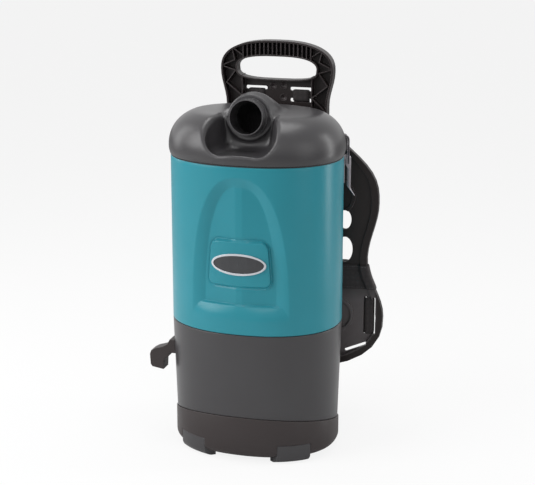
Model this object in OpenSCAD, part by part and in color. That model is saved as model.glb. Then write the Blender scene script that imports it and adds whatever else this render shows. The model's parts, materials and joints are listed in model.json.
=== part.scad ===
// Backpack vacuum cleaner: an upright oval canister with a latched dome lid, a filter bag
// in the tank, a suction motor in the base and a moulded harness frame on its back.
// Origin on the floor under the canister's axis. +Z up, +Y towards the wearer's back,
// so the outer face of the machine looks along -Y.

/* [Canister] */
// Width of the tank, left to right
body_w = 270; // [255:1:285]
// Depth of the tank, front to back
body_d = 209.4; // [200:0.5:216]
// How square the oval section is (2 is an ellipse)
body_square = 2.2; // [2:0.05:2.5]
// Wall of the moulded shells
wall = 3.5; // [2.5:0.25:4.5]
// Height of the seam between motor housing and tank
tank_low_z = 210.5; // [205:0.5:216]
// Height of the tank's top rim
tank_top_z = 473; // [468:0.5:478]
// How much the housing narrows from its top to the floor, on each side
housing_taper = 6.5; // [2:0.5:9]

/* [Front recess] */
// Half-width of the arch at its foot
arch_half_w = 77.5; // [70:0.5:82]
// Height of the arch's crown
arch_top_z = 456; // [448:1:460]
// Height where the sill under the arch meets the shell
arch_foot_z = 231; // [226:1:236]
// Height of the ledge at the foot of the arch's floor
arch_ledge_z = 258; // [252:1:264]
// Width of the sloped wall round the arch
arch_slope_w = 15.5; // [10:0.5:20]
// Depth of the arch's floor under the shell's surface
arch_depth = 7; // [4:0.5:9]
// Height of the badge's centre
badge_z = 322; // [312:1:334]
// Width of the oval badge
badge_w = 87; // [70:1:90]
// Height of the oval badge
badge_h = 34; // [26:1:40]

/* [Base] */
// Height of the base band's top edge over the canister's axis
band_mid_z = 51.7; // [48:0.5:56]
// Fall of the band's top edge from front to back, in degrees
band_tilt = 12.8; // [8:0.2:15]
// How far the band stands proud of the housing
band_proud = 1.5; // [0.5:0.25:2.5]
// Clearance between the band's floor and the ground
base_low_z = 8; // [6:0.5:10]
// Width of a foot
foot_w = 47; // [38:1:52]
// Height of a foot's outer face
foot_h = 30; // [24:1:34]
// Thickness of a foot, from its outer face inwards
foot_t = 20; // [14:1:24]

/* [Lid] */
// Height of the lid's flat top
dome_top_z = 545; // [540:1:550]
// Height of the lid's widest part
dome_belly_z = 487; // [483:1:492]
// How far the lid swells past the tank
dome_swell = 3; // [1:0.25:3.5]
// Width of the lid's flat top
dome_flat_w = 140; // [120:1:160]
// Depth of the lid's flat top
dome_flat_d = 90; // [70:1:100]
// Thickness of the rubber seal between tank and lid
seal_t = 1.5; // [1:0.1:2]
// How far the lid lifts clear of the tank
lid_lift = 40; // [30:1:44]

/* [Hose inlet] */
// Inner radius of the swivel cuff, which takes the hose end
port_r = 25.3; // [22:0.1:26]
// Wall of the swivel cuff
port_wall = 2.2; // [1.5:0.1:2.4]
// How far the cuff stands out of the collar
port_reach = 18; // [12:1:22]
// Rise of the inlet's axis towards the front, in degrees
port_tilt = 9; // [4:0.5:12]
// Forward reach of the cuff's mouth from the canister's axis
port_y = 59; // [55:0.5:63]
// Height of the cuff's mouth
port_z = 540; // [537:0.5:543]
// Wall of the collar round the cuff
collar_wall = 6; // [4:0.25:7]
// Radius of the elbow's bend under the lid
elbow_bend_r = 34; // [30:0.5:36]

/* [Latches] */
// Distance of the latches behind the canister's axis
latch_y = 40; // [34:1:46]
// Height of the lever's pivot
latch_pivot_z = 468; // [464:0.5:470]
// Distance from the lever's pivot down to the bail's pivot
latch_throw = 9; // [7:0.25:10]
// Width of the lever
lever_w = 11; // [9:0.5:12]
// Length of the lever below its pivot
lever_len = 60; // [50:1:66]
// Radius of the bail's wire
wire_r = 1.4; // [1.1:0.1:1.6]
// Height of the bail's crossbar over the lid's seam
bail_rise = 28; // [25:0.5:30]

/* [Harness frame] */
// Distance of the plate's front face behind the canister's axis
plate_y = 112; // [110:0.5:115]
// Radius to which the plate is bent round the wearer
plate_bend_r = 675; // [560:5:900]
// Thickness of the plate
plate_t = 4; // [3:0.25:5]
// Width of the lower lobes
lobe_low_w = 352; // [340:1:360]
// Width of the waist
waist_w = 299; // [290:1:306]
// Width of the upper lobes
lobe_high_w = 333; // [322:1:340]
// Width of the neck under the handle
neck_w = 167; // [160:1:174]
// Height of the plate's lower edge
plate_low_z = 90; // [84:1:96]
// Height of the lower lobes' widest part
lobe_low_z = 182; // [176:1:188]
// Height of the waist
waist_z = 280; // [275:1:286]
// Height of the upper lobes' widest part
lobe_high_z = 374; // [366:1:382]
// Height where the plate's neck meets the handle
neck_z = 515; // [511:1:519]
// Width of the raised rim
rim_w = 11; // [8:0.5:13]
// Height of the raised rim in front of the plate
rim_h = 5; // [3:0.25:6]

/* [Carry handle] */
// Width over the handle's shoulders
handle_w = 186; // [178:1:192]
// Height of the handle's top
handle_top_z = 635; // [630:1:640]
// Height of the straight lower edge of the grip opening
grip_low_z = 573; // [570:1:577]
// Height of the grip opening's top
grip_top_z = 610; // [606:1:612]
// Width of the grip opening
grip_w = 132; // [120:1:136]
// Depth of the handle's channel, front to back
handle_d = 18; // [14:0.5:20]
// Number of ribs across the grip
grip_ribs = 17; // [9:1:21]

/* [Motor] */
// Radius of the fan case
fan_r = 68; // [60:1:72]
// Height of the fan case
fan_h = 46; // [40:1:50]
// Radius of the motor's body
motor_r = 42; // [38:1:46]
// Length of the motor's body below the fan case
motor_len = 66; // [60:1:68]
// Radius of the motor shaft
shaft_r = 4; // [3:0.25:5]
// Running clearance between turning and fixed pieces
run_gap = 0.05; // [0.03:0.01:0.08]

/* [Harness] */
// Width of a shoulder pad
pad_w = 60; // [50:1:66]
// Thickness of a shoulder pad
pad_t = 13; // [9:1:15]
// How far the shoulder straps arch away from the plate
strap_bulge = 38; // [28:1:44]
// Height of the waist band
belt_h = 41; // [36:1:46]
// Height of the waist band's centre
belt_z = 251; // [247:1:255]
// Thickness of the waist belt's padding
belt_t = 12; // [8:1:14]
// Width of the webbing
web_w = 26; // [22:1:28]
// Thickness of the webbing
web_t = 2; // [1.5:0.25:2.5]

/* [Hidden] */
// Points round an oval section
OVAL_N = 72;
// Steps up the lid's curve
DOME_STEPS = 9;
// Steps along the foot of the arch
ARCH_FOOT_N = 12;
// Steps along the elbow's bend
ELBOW_STEPS = 9;
// Steps round the elbow
ELBOW_SIDES = 32;
// Gap kept between pieces that only lie against each other
FIT = 0.3;
half_w = body_w / 2;
half_d = body_d / 2;
lid_low_z = tank_top_z + seal_t + FIT;
dome_half_w = half_w + dome_swell;
dome_half_d = half_d + dome_swell / 2;
pin_gap = run_gap;
$fn = 64;

// Colours
TEAL = [0.21, 0.55, 0.59];
GREY = [0.33, 0.33, 0.34];
DARK = [0.24, 0.22, 0.22];
BLACK = [0.11, 0.10, 0.10];
STEEL = [0.72, 0.72, 0.74];
RUBBER = [0.09, 0.09, 0.09];
FOAM = [0.30, 0.30, 0.31];
PAPER = [0.82, 0.78, 0.68];
WHITE = [0.86, 0.87, 0.88];
COPPER = [0.72, 0.45, 0.25];

// Frame screws and the bosses they turn into
spacer_x = 60;
spacer_low_z = 150;
spacer_high_z = 436;
screw_r = 2.5;
boss_r = 8;
boss_in = 10;

// Tank, badge and filters
tank_ledge_z = tank_top_z - 9;
ledge_w = 8;
badge_floor = arch_depth - 2;
badge_ring_w = 3.2;
spigot_r = port_r + port_wall;
filter_ring_t = 4;
bag_low_z = 250;
cloth_low_z = 238;
bag_collar_z = tank_ledge_z + filter_ring_t;

// Motor, its deck and its cradle
deck_t = 4;
deck_z = tank_low_z - deck_t;
intake_r = 40;
fan_top_z = deck_z - 6;
fan_low_z = fan_top_z - fan_h;
motor_low_z = fan_low_z - motor_len;
case_t = 2;
cradle_t = 6;
bearing_r = 11;
bearing_h = 7;
commutator_r = 13;
impeller_r = fan_r - case_t - 3;
cradle_z = motor_low_z - cradle_t;
cradle_arm_w = 16;

// Base, feet and exhaust filter
screw_x = 92;
screw_y = 30;
base_screw_r = 2;
base_floor_t = 4;
foot_angle = 52;
foot_x = 82;
foot_y = 72;
hepa_low_z = 15;
hepa_h = 18;

// Things on the housing's sides
hook_y = -24;
hook_t = 22;
gland_y = 10;
gland_z = 140;
gland_r = 9;
switch_y = 58;
switch_z = 165;
switch_w = 22;
switch_h = 32;
rocker_r = 12;
rocker_pin_r = 1.5;
rocker_tilt = 8;
grille_y = 66;
grille_w = 40;
grille_low_z = 92;
grille_high_z = 182;

// Inlet, collar and elbow
cuff_len = 34;
cuff_lip = 4.5;
collar_r = port_r + port_wall + FIT + collar_wall;
collar_t = 9;
bend_s = cuff_len + 10;
pocket_floor_z = dome_belly_z + 3;
pocket_half_w = 44;
pocket_back_y = 44;
seal_outer_r = port_r + port_wall + 2.6;
elbow_flange_r = collar_r - wall + 2;

// Latches
latch_x = half_w * pow(1 - pow(latch_y / half_d, body_square), 1 / body_square);
latch_turn = atan(pow(latch_y / latch_x, body_square - 1) * pow(half_w / half_d, body_square));
pivot_u = 7.5;
bail_half_w = lever_w / 2 + 0.4 + wire_r;
bail_pivot_z = latch_pivot_z - latch_throw;
bar_u = 2.7;
bar_z = tank_top_z + bail_rise + 1;
catch_top_z = bar_z - wire_r - 1;
lever_t = 1.2;
lever_bend = 32;
flange_t = 1.2;
ear_r = 3.2;
latch_pin_r = 1.5;
ear_half_w = lever_w / 2 - flange_t - 0.3;
catch_half_w = 4.6;

// Plate, its slots and windows
slot_x = lobe_low_w / 2 - 14;
slot_gap = 12;
slot_low_z = lobe_low_z - 30;
slot_high_z = lobe_low_z + 35;
slot_w = 5;
window_x = 113;

// Handle
handle_front = plate_y - 4;
handle_back = handle_front + handle_d;
handle_wall = 3;
handle_slot_x = 37;
handle_slot_w = 36;
handle_slot_h = 6;
handle_slot_z = grip_low_z - 37;
handle_slot_gap = 18;
shoulder_z = 588;
leg_x = 57;
rib_t = 1.6;

// Harness
band_low_z = belt_z - belt_h / 2;
band_high_z = belt_z + belt_h / 2;
pad_depth = plate_t + web_t + 2 * FIT;
lumbar_half_w = 128;
lumbar_low_z = 196;
lumbar_high_z = 276;
wing_t0 = pad_depth + belt_t + 3 + FIT;
wing_out = lumbar_half_w - 2;
wing_in = 34;
buckle_t0 = wing_t0 + 1;
buckle_t1 = buckle_t0 + 10;
buckle_z = belt_z - 4;
button_travel = 1.5;
buckle_y = plate_y + buckle_t0 + 5;
strap_top_z = 531;
strap_low_z = 296;
strap_x = 38;
strap_shift = 8;
web_t0 = plate_t + FIT;
web_t1 = web_t0 + web_t;

// ---------- outlines ----------

// Signed power, for superellipses
function spow(v, p) = sign(v) * pow(abs(v), p);

// Closed oval outline with half-sizes a and b
function oval(a, b, n = body_square, count = OVAL_N) =
    [for (i = [0:count - 1]) let (t = 360 * i / count)
        [a * spow(cos(t), 2 / n), b * spow(sin(t), 2 / n)]];

// Depth of the canister's surface at a distance x from its axis, inset by d
function surface_y(x, d = 0) =
    (half_d - d) * pow(max(0, 1 - pow(abs(x) / (half_w - d), body_square)), 1 / body_square);

// Straight oval prism, inset by d, from z0 to z1
module oval_prism(d, z0, z1) {
    translate([0, 0, z0])
        linear_extrude(z1 - z0) polygon(oval(half_w - d, half_d - d));
}

// Tapered oval of the motor housing, inset by d, between z0 and z1
module tapered_oval(d, z0, z1) {
    inset0 = d + housing_taper * (tank_low_z - z0) / tank_low_z;
    inset1 = d + housing_taper * (tank_low_z - z1) / tank_low_z;
    low = oval(half_w - inset0, half_d - inset0);
    high = oval(half_w - inset1, half_d - inset1);
    skin([[for (p = low) [p[0], p[1], z0]], [for (p = high) [p[0], p[1], z1]]]);
}

// Closed skin over a stack of rings of equal length, with its ends fanned from their middles
module skin(rings) {
    count = len(rings[0]);
    rows = len(rings);
    last = (rows - 1) * count;
    points = concat([for (r = rings) each r], [middle(rings[0]), middle(rings[rows - 1])]);
    faces = concat(
        [for (j = [0:rows - 2], i = [0:count - 1])
            let (k = (i + 1) % count)
            [j * count + i, (j + 1) * count + k, j * count + k]],
        [for (j = [0:rows - 2], i = [0:count - 1])
            let (k = (i + 1) % count)
            [j * count + i, (j + 1) * count + i, (j + 1) * count + k]],
        [for (i = [0:count - 1]) [i, (i + 1) % count, rows * count]],
        [for (i = [0:count - 1]) [last + (i + 1) % count, last + i, rows * count + 1]]);
    polyhedron(points, faces);
}

// Closed skin over a loop of rings of equal length, the last joined to the first
module loop_skin(rings) {
    count = len(rings[0]);
    rows = len(rings);
    faces = [for (j = [0:rows - 1], i = [0:count - 1], half = [0, 1])
        let (k = (i + 1) % count, n = (j + 1) % rows)
        half == 0 ? [j * count + i, n * count + k, j * count + k]
            : [j * count + i, n * count + i, n * count + k]];
    polyhedron([for (r = rings) each r], faces);
}

// Middle of a ring of points
function middle(ring) = [for (axis = [0:2]) [for (p = ring) p[axis]] * [for (p = ring) 1] / len(ring)];

// Everything under the plane of the band's top edge, lifted by dz
module under_band_edge(dz = 0) {
    translate([0, 0, band_mid_z + dz])
        rotate([-band_tilt, 0, 0])
            translate([-200, -200, -200]) cube([400, 400, 200]);
}

// ---------- tank ----------

// Half-width of an arch of foot width w at height z
function arch_half(z, w, foot, top) =
    w * pow(max(0, 1 - pow(max(0, z - foot) / (top - foot), 2.5)), 0.4);

// Outline of the arch in x and z, with half-width w, foot and crown
function arch(w, foot, top, steps = 20) =
    let (side = [for (i = [0:steps]) let (z = foot + (top - foot) * sin(90 * i / steps))
        [arch_half(z, w, foot, top), z]])
    concat(side, [for (i = [steps - 1:-1:0]) [-side[i][0], side[i][1]]],
        [for (i = [1:ARCH_FOOT_N - 1]) [w * (2 * i / ARCH_FOOT_N - 1), foot]]);

// Solid between the arch's outer line on the shell and its inner line on the floor
module arch_cutter() {
    outer = arch(arch_half_w, arch_foot_z, arch_top_z);
    inner = arch(arch_half_w - arch_slope_w, arch_ledge_z, arch_top_z - arch_slope_w + 1);
    over = 0.5;
    // the rings run past the shell's surface and past the floor
    out_ring = [for (i = [0:len(outer) - 1]) let (o = outer[i], n = inner[i])
        [o[0] + over * (o[0] - n[0]),
         -surface_y(o[0]) - over * arch_depth,
         o[1] + over * (o[1] - n[1])]];
    in_ring = [for (i = [0:len(outer) - 1]) let (o = outer[i], n = inner[i])
        [n[0] - over * (o[0] - n[0]) * 0.5,
         -surface_y(n[0], arch_depth) + over * arch_depth,
         n[1] - over * (o[1] - n[1]) * 0.5]];
    front = [for (p = out_ring) [p[0], -half_d - 12, p[2]]];
    back = [for (p = in_ring) [p[0], -half_d * 0.55, p[2]]];
    difference() {
        skin([back, in_ring, out_ring, front]);
        oval_prism(arch_depth, arch_foot_z - 30, arch_top_z + 30);
    }
}

// Raised pad behind the badge, on the floor of the arch
module badge_pad(proud) {
    pad_half_w = 48;
    pad_low_z = badge_z - 33;
    pad_high_z = badge_z + 35;
    corner = 9;
    difference() {
        intersection() {
            oval_prism(arch_depth - proud, pad_low_z - 1, pad_high_z + 1);
            rotate([90, 0, 0]) linear_extrude(half_d + 5)
                rounded([-pad_half_w, pad_low_z], [pad_half_w, pad_high_z], corner);
        }
        oval_prism(arch_depth + 0.5, pad_low_z - 2, pad_high_z + 2);
    }
}

// Rectangle with round corners between two corner points
module rounded(low, high, r) {
    w = high[0] - low[0];
    h = high[1] - low[1];
    translate([low[0] + r, low[1]]) square([w - 2 * r, h]);
    translate([low[0], low[1] + r]) square([w, h - 2 * r]);
    for (x = [low[0] + r, high[0] - r], y = [low[1] + r, high[1] - r])
        translate([x, y]) circle(r, $fn = 32);
}

// Places of the four screws that hold the frame
module at_spacers() {
    for (x = [-spacer_x, spacer_x], z = [spacer_low_z, spacer_high_z])
        translate([x, 0, z]) children();
}

// Screw bosses on the inside of the back wall, cut to the form given as child
module wall_boss(z) intersection() {
    for (x = [-spacer_x, spacer_x])
        translate([x, surface_y(x) - wall - boss_in, z])
            rotate([-90, 0, 0]) cylinder(r = boss_r, h = boss_in + wall);
    children();
}

module screw_hole(z, from_y, to_y, r) {
    for (x = [-spacer_x, spacer_x])
        translate([x, from_y, z]) rotate([-90, 0, 0]) cylinder(r = r, h = to_y - from_y);
}

module tank_shell() color(TEAL) {
    difference() {
        union() {
            difference() {
                oval_prism(0, tank_low_z, tank_top_z);
                oval_prism(wall, tank_low_z - 1, tank_top_z + 1);
            }
            // thicker wall behind the arch
            intersection() {
                difference() {
                    oval_prism(wall / 2, arch_foot_z - 2, arch_top_z + wall);
                    oval_prism(arch_depth + wall, arch_foot_z - 3, arch_top_z + wall + 1);
                }
                rotate([90, 0, 0]) linear_extrude(half_d + 5)
                    polygon(arch(arch_half_w + wall, arch_foot_z - 2, arch_top_z + wall));
            }
            // ledge that carries the filter's ring
            difference() {
                oval_prism(wall / 2, tank_ledge_z - 4, tank_ledge_z);
                oval_prism(wall + ledge_w, tank_ledge_z - 5, tank_ledge_z + 1);
            }
            wall_boss(spacer_high_z) oval_prism(wall / 2, tank_low_z, tank_top_z);
        }
        arch_cutter();
        screw_hole(spacer_high_z, half_d * 0.6, half_d + 5, screw_r + pin_gap);
    }
    badge_pad(2);
}

// Oval plate standing on the badge's pad, from depth d0 to d1 under the shell's surface
module badge_oval(half_x, half_z, d_low, d_high) {
    intersection() {
        difference() {
            oval_prism(d_high, badge_z - half_z - 2, badge_z + half_z + 2);
            oval_prism(d_low, badge_z - half_z - 3, badge_z + half_z + 3);
        }
        translate([0, 0, badge_z]) rotate([90, 0, 0])
            linear_extrude(half_d + 5) polygon(oval(half_x, half_z, 2, 64));
    }
}

module badge_rim() color(STEEL) difference() {
    badge_oval(badge_w / 2, badge_h / 2, badge_floor, badge_floor - 2.4);
    badge_oval(badge_w / 2 - badge_ring_w, badge_h / 2 - badge_ring_w,
        badge_floor + 1, badge_floor - 4);
}

module badge_plate() color(DARK)
    badge_oval(badge_w / 2 - badge_ring_w - 0.1, badge_h / 2 - badge_ring_w - 0.1,
        badge_floor, badge_floor - 1.4);

module lid_gasket() color(RUBBER) difference() {
    oval_prism(0.6, tank_top_z, tank_top_z + seal_t);
    oval_prism(wall + 2, tank_top_z - 1, tank_top_z + seal_t + 1);
}

// ---------- filters in the tank ----------

spigot_y = elbow_end()[1];

module cloth_filter() color(WHITE) {
    // moulded ring on the tank's ledge
    difference() {
        oval_prism(wall + 0.5, tank_ledge_z, tank_ledge_z + filter_ring_t);
        oval_prism(wall + 14, tank_ledge_z - 1, tank_ledge_z + filter_ring_t + 1);
    }
    // sack hanging from the ring
    difference() {
        oval_prism(wall + 14, cloth_low_z, tank_ledge_z + 1);
        oval_prism(wall + 16, cloth_low_z + 2, tank_ledge_z + 8);
    }
}

module filter_bag() color(PAPER)
    oval_prism(wall + 24, bag_low_z, tank_ledge_z - 8);

module bag_collar() color(PAPER) {
    // card collar over the ring, with the hole for the elbow's spigot
    difference() {
        oval_prism(wall + 8, bag_collar_z, bag_collar_z + 2);
        translate([0, spigot_y, bag_collar_z - 1]) cylinder(r = spigot_r + 0.5, h = 5);
    }
    // neck that joins the collar to the bag
    difference() {
        translate([0, spigot_y, tank_ledge_z - 8])
            cylinder(r = spigot_r + 6, h = bag_collar_z - tank_ledge_z + 8);
        translate([0, spigot_y, tank_ledge_z - 9]) cylinder(r = spigot_r + 0.5, h = 40);
    }
}

// ---------- motor and base ----------

module motor_deck() color(DARK) difference() {
    tapered_oval(wall + FIT, deck_z, tank_low_z);
    translate([0, 0, deck_z - 1]) cylinder(r = intake_r, h = deck_t + 2);
}

module motor_filter() color(FOAM)
    translate([0, 0, tank_low_z]) cylinder(r = intake_r + 14, h = 14);

module motor_gasket() color(RUBBER) translate([0, 0, fan_top_z]) difference() {
    cylinder(r = intake_r + 12, h = deck_z - fan_top_z);
    translate([0, 0, -1]) cylinder(r = intake_r, h = deck_z - fan_top_z + 2);
}

module motor_fan_case() color(STEEL) translate([0, 0, fan_low_z]) difference() {
    cylinder(r = fan_r, h = fan_h);
    translate([0, 0, case_t]) cylinder(r = fan_r - case_t, h = fan_h - 2 * case_t);
    // eye of the fan
    translate([0, 0, fan_h - case_t - 1]) cylinder(r = 26, h = case_t + 2);
    // seat of the upper bearing
    translate([0, 0, -1]) cylinder(r = bearing_r, h = case_t + 2);
    // outlets into the motor's body
    for (a = [0:45:315]) rotate([0, 0, a]) translate([fan_r - 18, 0, -1])
        cylinder(r = 5, h = case_t + 2);
}

module motor_frame() color(GREY) translate([0, 0, motor_low_z]) {
    difference() {
        cylinder(r = motor_r, h = motor_len);
        translate([0, 0, 3]) cylinder(r = motor_r - 3, h = motor_len);
        translate([0, 0, -1]) cylinder(r = bearing_r, h = 5);
        for (a = [30:60:330]) rotate([0, 0, a]) translate([0, 0, 12])
            cube([motor_r + 5, 10, 10]);
    }
    // field windings' iron
    translate([0, 0, 24]) difference() {
        cylinder(r = motor_r - 3, h = 30);
        translate([0, 0, -1]) cylinder(r = 25, h = 32);
    }
    // bridge that holds the upper bearing
    translate([0, 0, motor_len - 4]) difference() {
        cylinder(r = motor_r - 3, h = 4);
        translate([0, 0, -1]) cylinder(r = bearing_r, h = 6);
        for (a = [0:60:300]) rotate([0, 0, a]) translate([27, 0, -1]) cylinder(r = 7, h = 6);
    }
}

module bearing_at(z) {
    translate([0, 0, z]) difference() {
        cylinder(r = bearing_r, h = bearing_h);
        translate([0, 0, -1]) cylinder(r = shaft_r + pin_gap, h = bearing_h + 2);
    }
}

module motor_bearings() color(STEEL) {
    bearing_at(motor_low_z);
    bearing_at(fan_low_z - bearing_h + case_t);
}

module brush_holders() color(COPPER)
    for (s = [0, 180]) rotate([0, 0, s]) translate([commutator_r + 0.5, -4, motor_low_z + 10])
        cube([motor_r - 3 - FIT - commutator_r - 0.5, 8, 10]);

module motor_shaft() color(STEEL)
    translate([0, 0, motor_low_z + 0.5]) cylinder(r = shaft_r, h = fan_top_z - motor_low_z - 8);

module armature() color(COPPER) {
    translate([0, 0, motor_low_z + 24]) tube(shaft_r, 24, 30);
    translate([0, 0, motor_low_z + 9]) tube(shaft_r, commutator_r, 12);
}

module tube(r_in, r_out, h) {
    difference() {
        cylinder(r = r_out, h = h);
        translate([0, 0, -1]) cylinder(r = r_in, h = h + 2);
    }
}

module impeller() color(STEEL) translate([0, 0, fan_low_z + 10]) {
    tube(shaft_r, 10, 24);
    tube(9, impeller_r, 1.5);
    difference() {
        translate([0, 0, 20]) tube(22, impeller_r, 1.5);
        translate([0, 0, 19]) cylinder(r = 22, h = 4);
    }
    for (a = [0:30:330]) rotate([0, 0, a]) translate([23, -0.75, 0.5])
        cube([impeller_r - 25, 1.5, 20.5]);
}

// Ring with arms that carries the motor on the housing's ribs
module motor_cradle() color(DARK) {
    translate([0, 0, cradle_z]) difference() {
        union() {
            cylinder(r = motor_r + 5, h = cradle_t);
            for (a = [0, 90]) rotate([0, 0, a])
                translate([-200, -cradle_arm_w / 2, 0]) cube([400, cradle_arm_w, cradle_t]);
        }
        translate([0, 0, -1]) cylinder(r = motor_r - 12, h = cradle_t + 2);
        difference() {
            translate([-250, -250, -1]) cube([500, 500, cradle_t + 2]);
            translate([0, 0, -cradle_z]) tapered_oval(wall + FIT, cradle_z - 2, cradle_z + cradle_t + 2);
        }
    }
}

module at_base_screws() {
    for (x = [-screw_x, screw_x], y = [-screw_y, screw_y]) translate([x, y, 0]) children();
}

module motor_housing() color(GREY) difference() {
    union() {
        difference() {
            tapered_oval(0, base_low_z, tank_low_z);
            tapered_oval(wall, base_low_z - 1, tank_low_z + 1);
            under_band_edge(0);
        }
        // ledge under the deck
        difference() {
            tapered_oval(wall / 2, deck_z - 4, deck_z);
            tapered_oval(wall + 5, deck_z - 5, deck_z + 1);
        }
        // ledge under the cradle
        difference() {
            tapered_oval(wall / 2, cradle_z - 4, cradle_z);
            tapered_oval(wall + 6, cradle_z - 5, cradle_z + 1);
        }
        wall_boss(spacer_low_z) tapered_oval(wall / 2, base_low_z, tank_low_z);
        // bosses for the base screws, tied to the cradle's ledge
        at_base_screws() translate([0, 0, base_low_z + base_floor_t])
            cylinder(r = 6, h = cradle_z - base_low_z - base_floor_t);
        intersection() {
            tapered_oval(wall / 2, cradle_z - 20, cradle_z);
            for (s = [-1, 1], y = [-screw_y, screw_y])
                translate([s * (screw_x + 20) - 20, y - 1.5, cradle_z - 18]) cube([40, 3, 18]);
        }
    }
    at_base_screws() translate([0, 0, base_low_z - 1])
        cylinder(r = base_screw_r + pin_gap, h = 26);
    screw_hole(spacer_low_z, half_d * 0.6, half_d + 5, screw_r + pin_gap);
    inlet_hole();
    switch_hole();
    grille_hole();
}

// Outer form of the base band, with its lower edge rounded
module band_form(d, low) {
    edge = 12;
    inset = d - band_proud;
    taper = housing_taper * (tank_low_z - 60) / tank_low_z;
    rings = [for (i = [0:5]) let (a = 90 * i / 5, s = inset + taper + edge * (1 - sin(a)))
        [for (p = oval(half_w - s, half_d - s)) [p[0], p[1], low + edge * (1 - cos(a))]]];
    top = [for (p = oval(half_w - inset - taper + 0.8, half_d - inset - taper + 0.8))
        [p[0], p[1], 90]];
    skin(concat(rings, [top]));
}

// Upright block at each corner of the base, grown by g
module foot_block(side_y, g, top) {
    for (s = [-1, 1])
        translate([s * foot_x, side_y * foot_y, 0])
            rotate([0, 0, s * side_y * (foot_angle - 90) * -1])
                translate([-foot_w / 2 - g, side_y > 0 ? -foot_t - g : -30, -1])
                    cube([foot_w + 2 * g, foot_t + 30 + g, top + g + 1]);
}

module base_cap() color(DARK) difference() {
    intersection() {
        band_form(0, base_low_z);
        under_band_edge(0);
    }
    difference() {
        intersection() {
            band_form(wall, base_low_z + base_floor_t);
            under_band_edge(5);
        }
        // seats of the exhaust filter
        for (x = [-70, 70]) translate([x - 3, -50, 0])
            cube([6, 100, hepa_low_z]);
    }
    at_base_screws() {
        translate([0, 0, base_low_z - 1]) cylinder(r = base_screw_r + 0.3, h = 12);
        translate([0, 0, base_low_z - 1]) cylinder(r = 4.4, h = 2.9);
    }
    foot_block(-1, 0.5, foot_h);
    foot_block(1, 0.5, foot_h);
    // outlet slots in the floor
    for (x = [-50:10:50]) translate([x - 2, -45, base_low_z - 1])
        cube([4, 90, base_floor_t + 2]);
}

module feet(side_y) intersection() {
    foot_block(side_y, 0, foot_h);
    band_form(0.2, 0);
    translate([-200, -200, 0]) cube([400, 400, 100]);
    difference() {
        translate([-200, -200, 0]) cube([400, 400, 100]);
        at_base_screws() translate([0, 0, -1]) cylinder(r = 6.5, h = 60);
    }
}

module feet_front() color(GREY) feet(-1);
module feet_rear() color(GREY) feet(1);

module base_screws() color(STEEL) at_base_screws() {
    translate([0, 0, base_low_z - 0.6]) cylinder(r = 4.2, h = 2.4);
    translate([0, 0, base_low_z + 1]) cylinder(r = base_screw_r, h = 22);
}

module hepa_filter() color(WHITE) translate([0, 0, hepa_low_z]) difference() {
    linear_extrude(hepa_h) polygon(oval(82, 58));
    for (x = [-72:8:72]) translate([x - 1.5, -40, hepa_h - 6]) cube([3, 80, 10]);
}

// ---------- things on the housing's sides ----------

// Distance of the housing's wall from the axis plane, on the left at depth y
function side_x(y, z) =
    let (a = half_w - housing_taper * (tank_low_z - z) / tank_low_z, b = a - half_w + half_d)
    a * pow(1 - pow(abs(y) / b, body_square), 1 / body_square);

module cord_hook() color(DARK) difference() {
    translate([-half_w, hook_y + hook_t / 2, 0]) rotate([90, 0, 0]) linear_extrude(hook_t)
        polygon([[13, 168], [-2, 168], [-6, 160], [-14, 155], [-27, 151], [-34, 147],
            [-36, 141], [-35, 124], [-32, 120], [-13, 117], [-12, 134], [-4, 140],
            [-3, 146], [13, 146]]);
    tapered_oval(-FIT / 2, 100, 190);
}

// Frame of the gland on the left side: +Z points into the housing, from s outside its wall
module at_gland(s) translate([-side_x(gland_y, gland_z) - s, gland_y, gland_z])
    rotate([0, 90, 0]) children();

module inlet_hole() at_gland(10) cylinder(r = gland_r - 2 + pin_gap, h = 40);

// Recessed power inlet with two pins, in a round gland
module power_inlet() color(GREY) difference() {
    union() {
        difference() {
            at_gland(7) cylinder(r = gland_r, h = 20);
            tapered_oval(-FIT, gland_z - 30, gland_z + 30);
        }
        at_gland(7) cylinder(r = gland_r - 2, h = 22);
    }
    at_gland(8) difference() {
        cylinder(r = gland_r - 3.5, h = 18);
        for (s = [-2.6, 2.6]) translate([0, s, 0]) cylinder(r = 1, h = 20);
    }
}

// Frame of the switch on the left, behind the gland: local +X points out of the housing
module at_switch() {
    x = side_x(switch_y, switch_z);
    turn = atan(pow(switch_y / x, body_square - 1) * pow(half_w / half_d, body_square));
    translate([-x, switch_y, switch_z]) rotate([0, 0, 180 - turn]) children();
}

module switch_hole()
    at_switch() translate([-20, -switch_w / 2, -switch_h / 2]) cube([40, switch_w, switch_h]);

module switch_bezel() color(BLACK) difference() {
    union() {
        intersection() {
            wall_layer(-2.6, -FIT, switch_z - switch_h / 2 - 3, switch_z + switch_h / 2 + 3);
            at_switch() translate([-20, -switch_w / 2 - 3, -50]) cube([40, switch_w + 6, 100]);
        }
        at_switch() translate([-14, -switch_w / 2 + 0.1, -switch_h / 2 + 0.1])
            cube([14.5, switch_w - 0.2, switch_h - 0.2]);
    }
    at_switch() {
        translate([-11, -switch_w / 2 + 3, -switch_h / 2 + 2.5])
            cube([20, switch_w - 6, switch_h - 5]);
        rotate([90, 0, 0]) translate([-2, 0, -switch_w])
            cylinder(r = rocker_pin_r + pin_gap, h = 2 * switch_w);
    }
}

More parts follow.
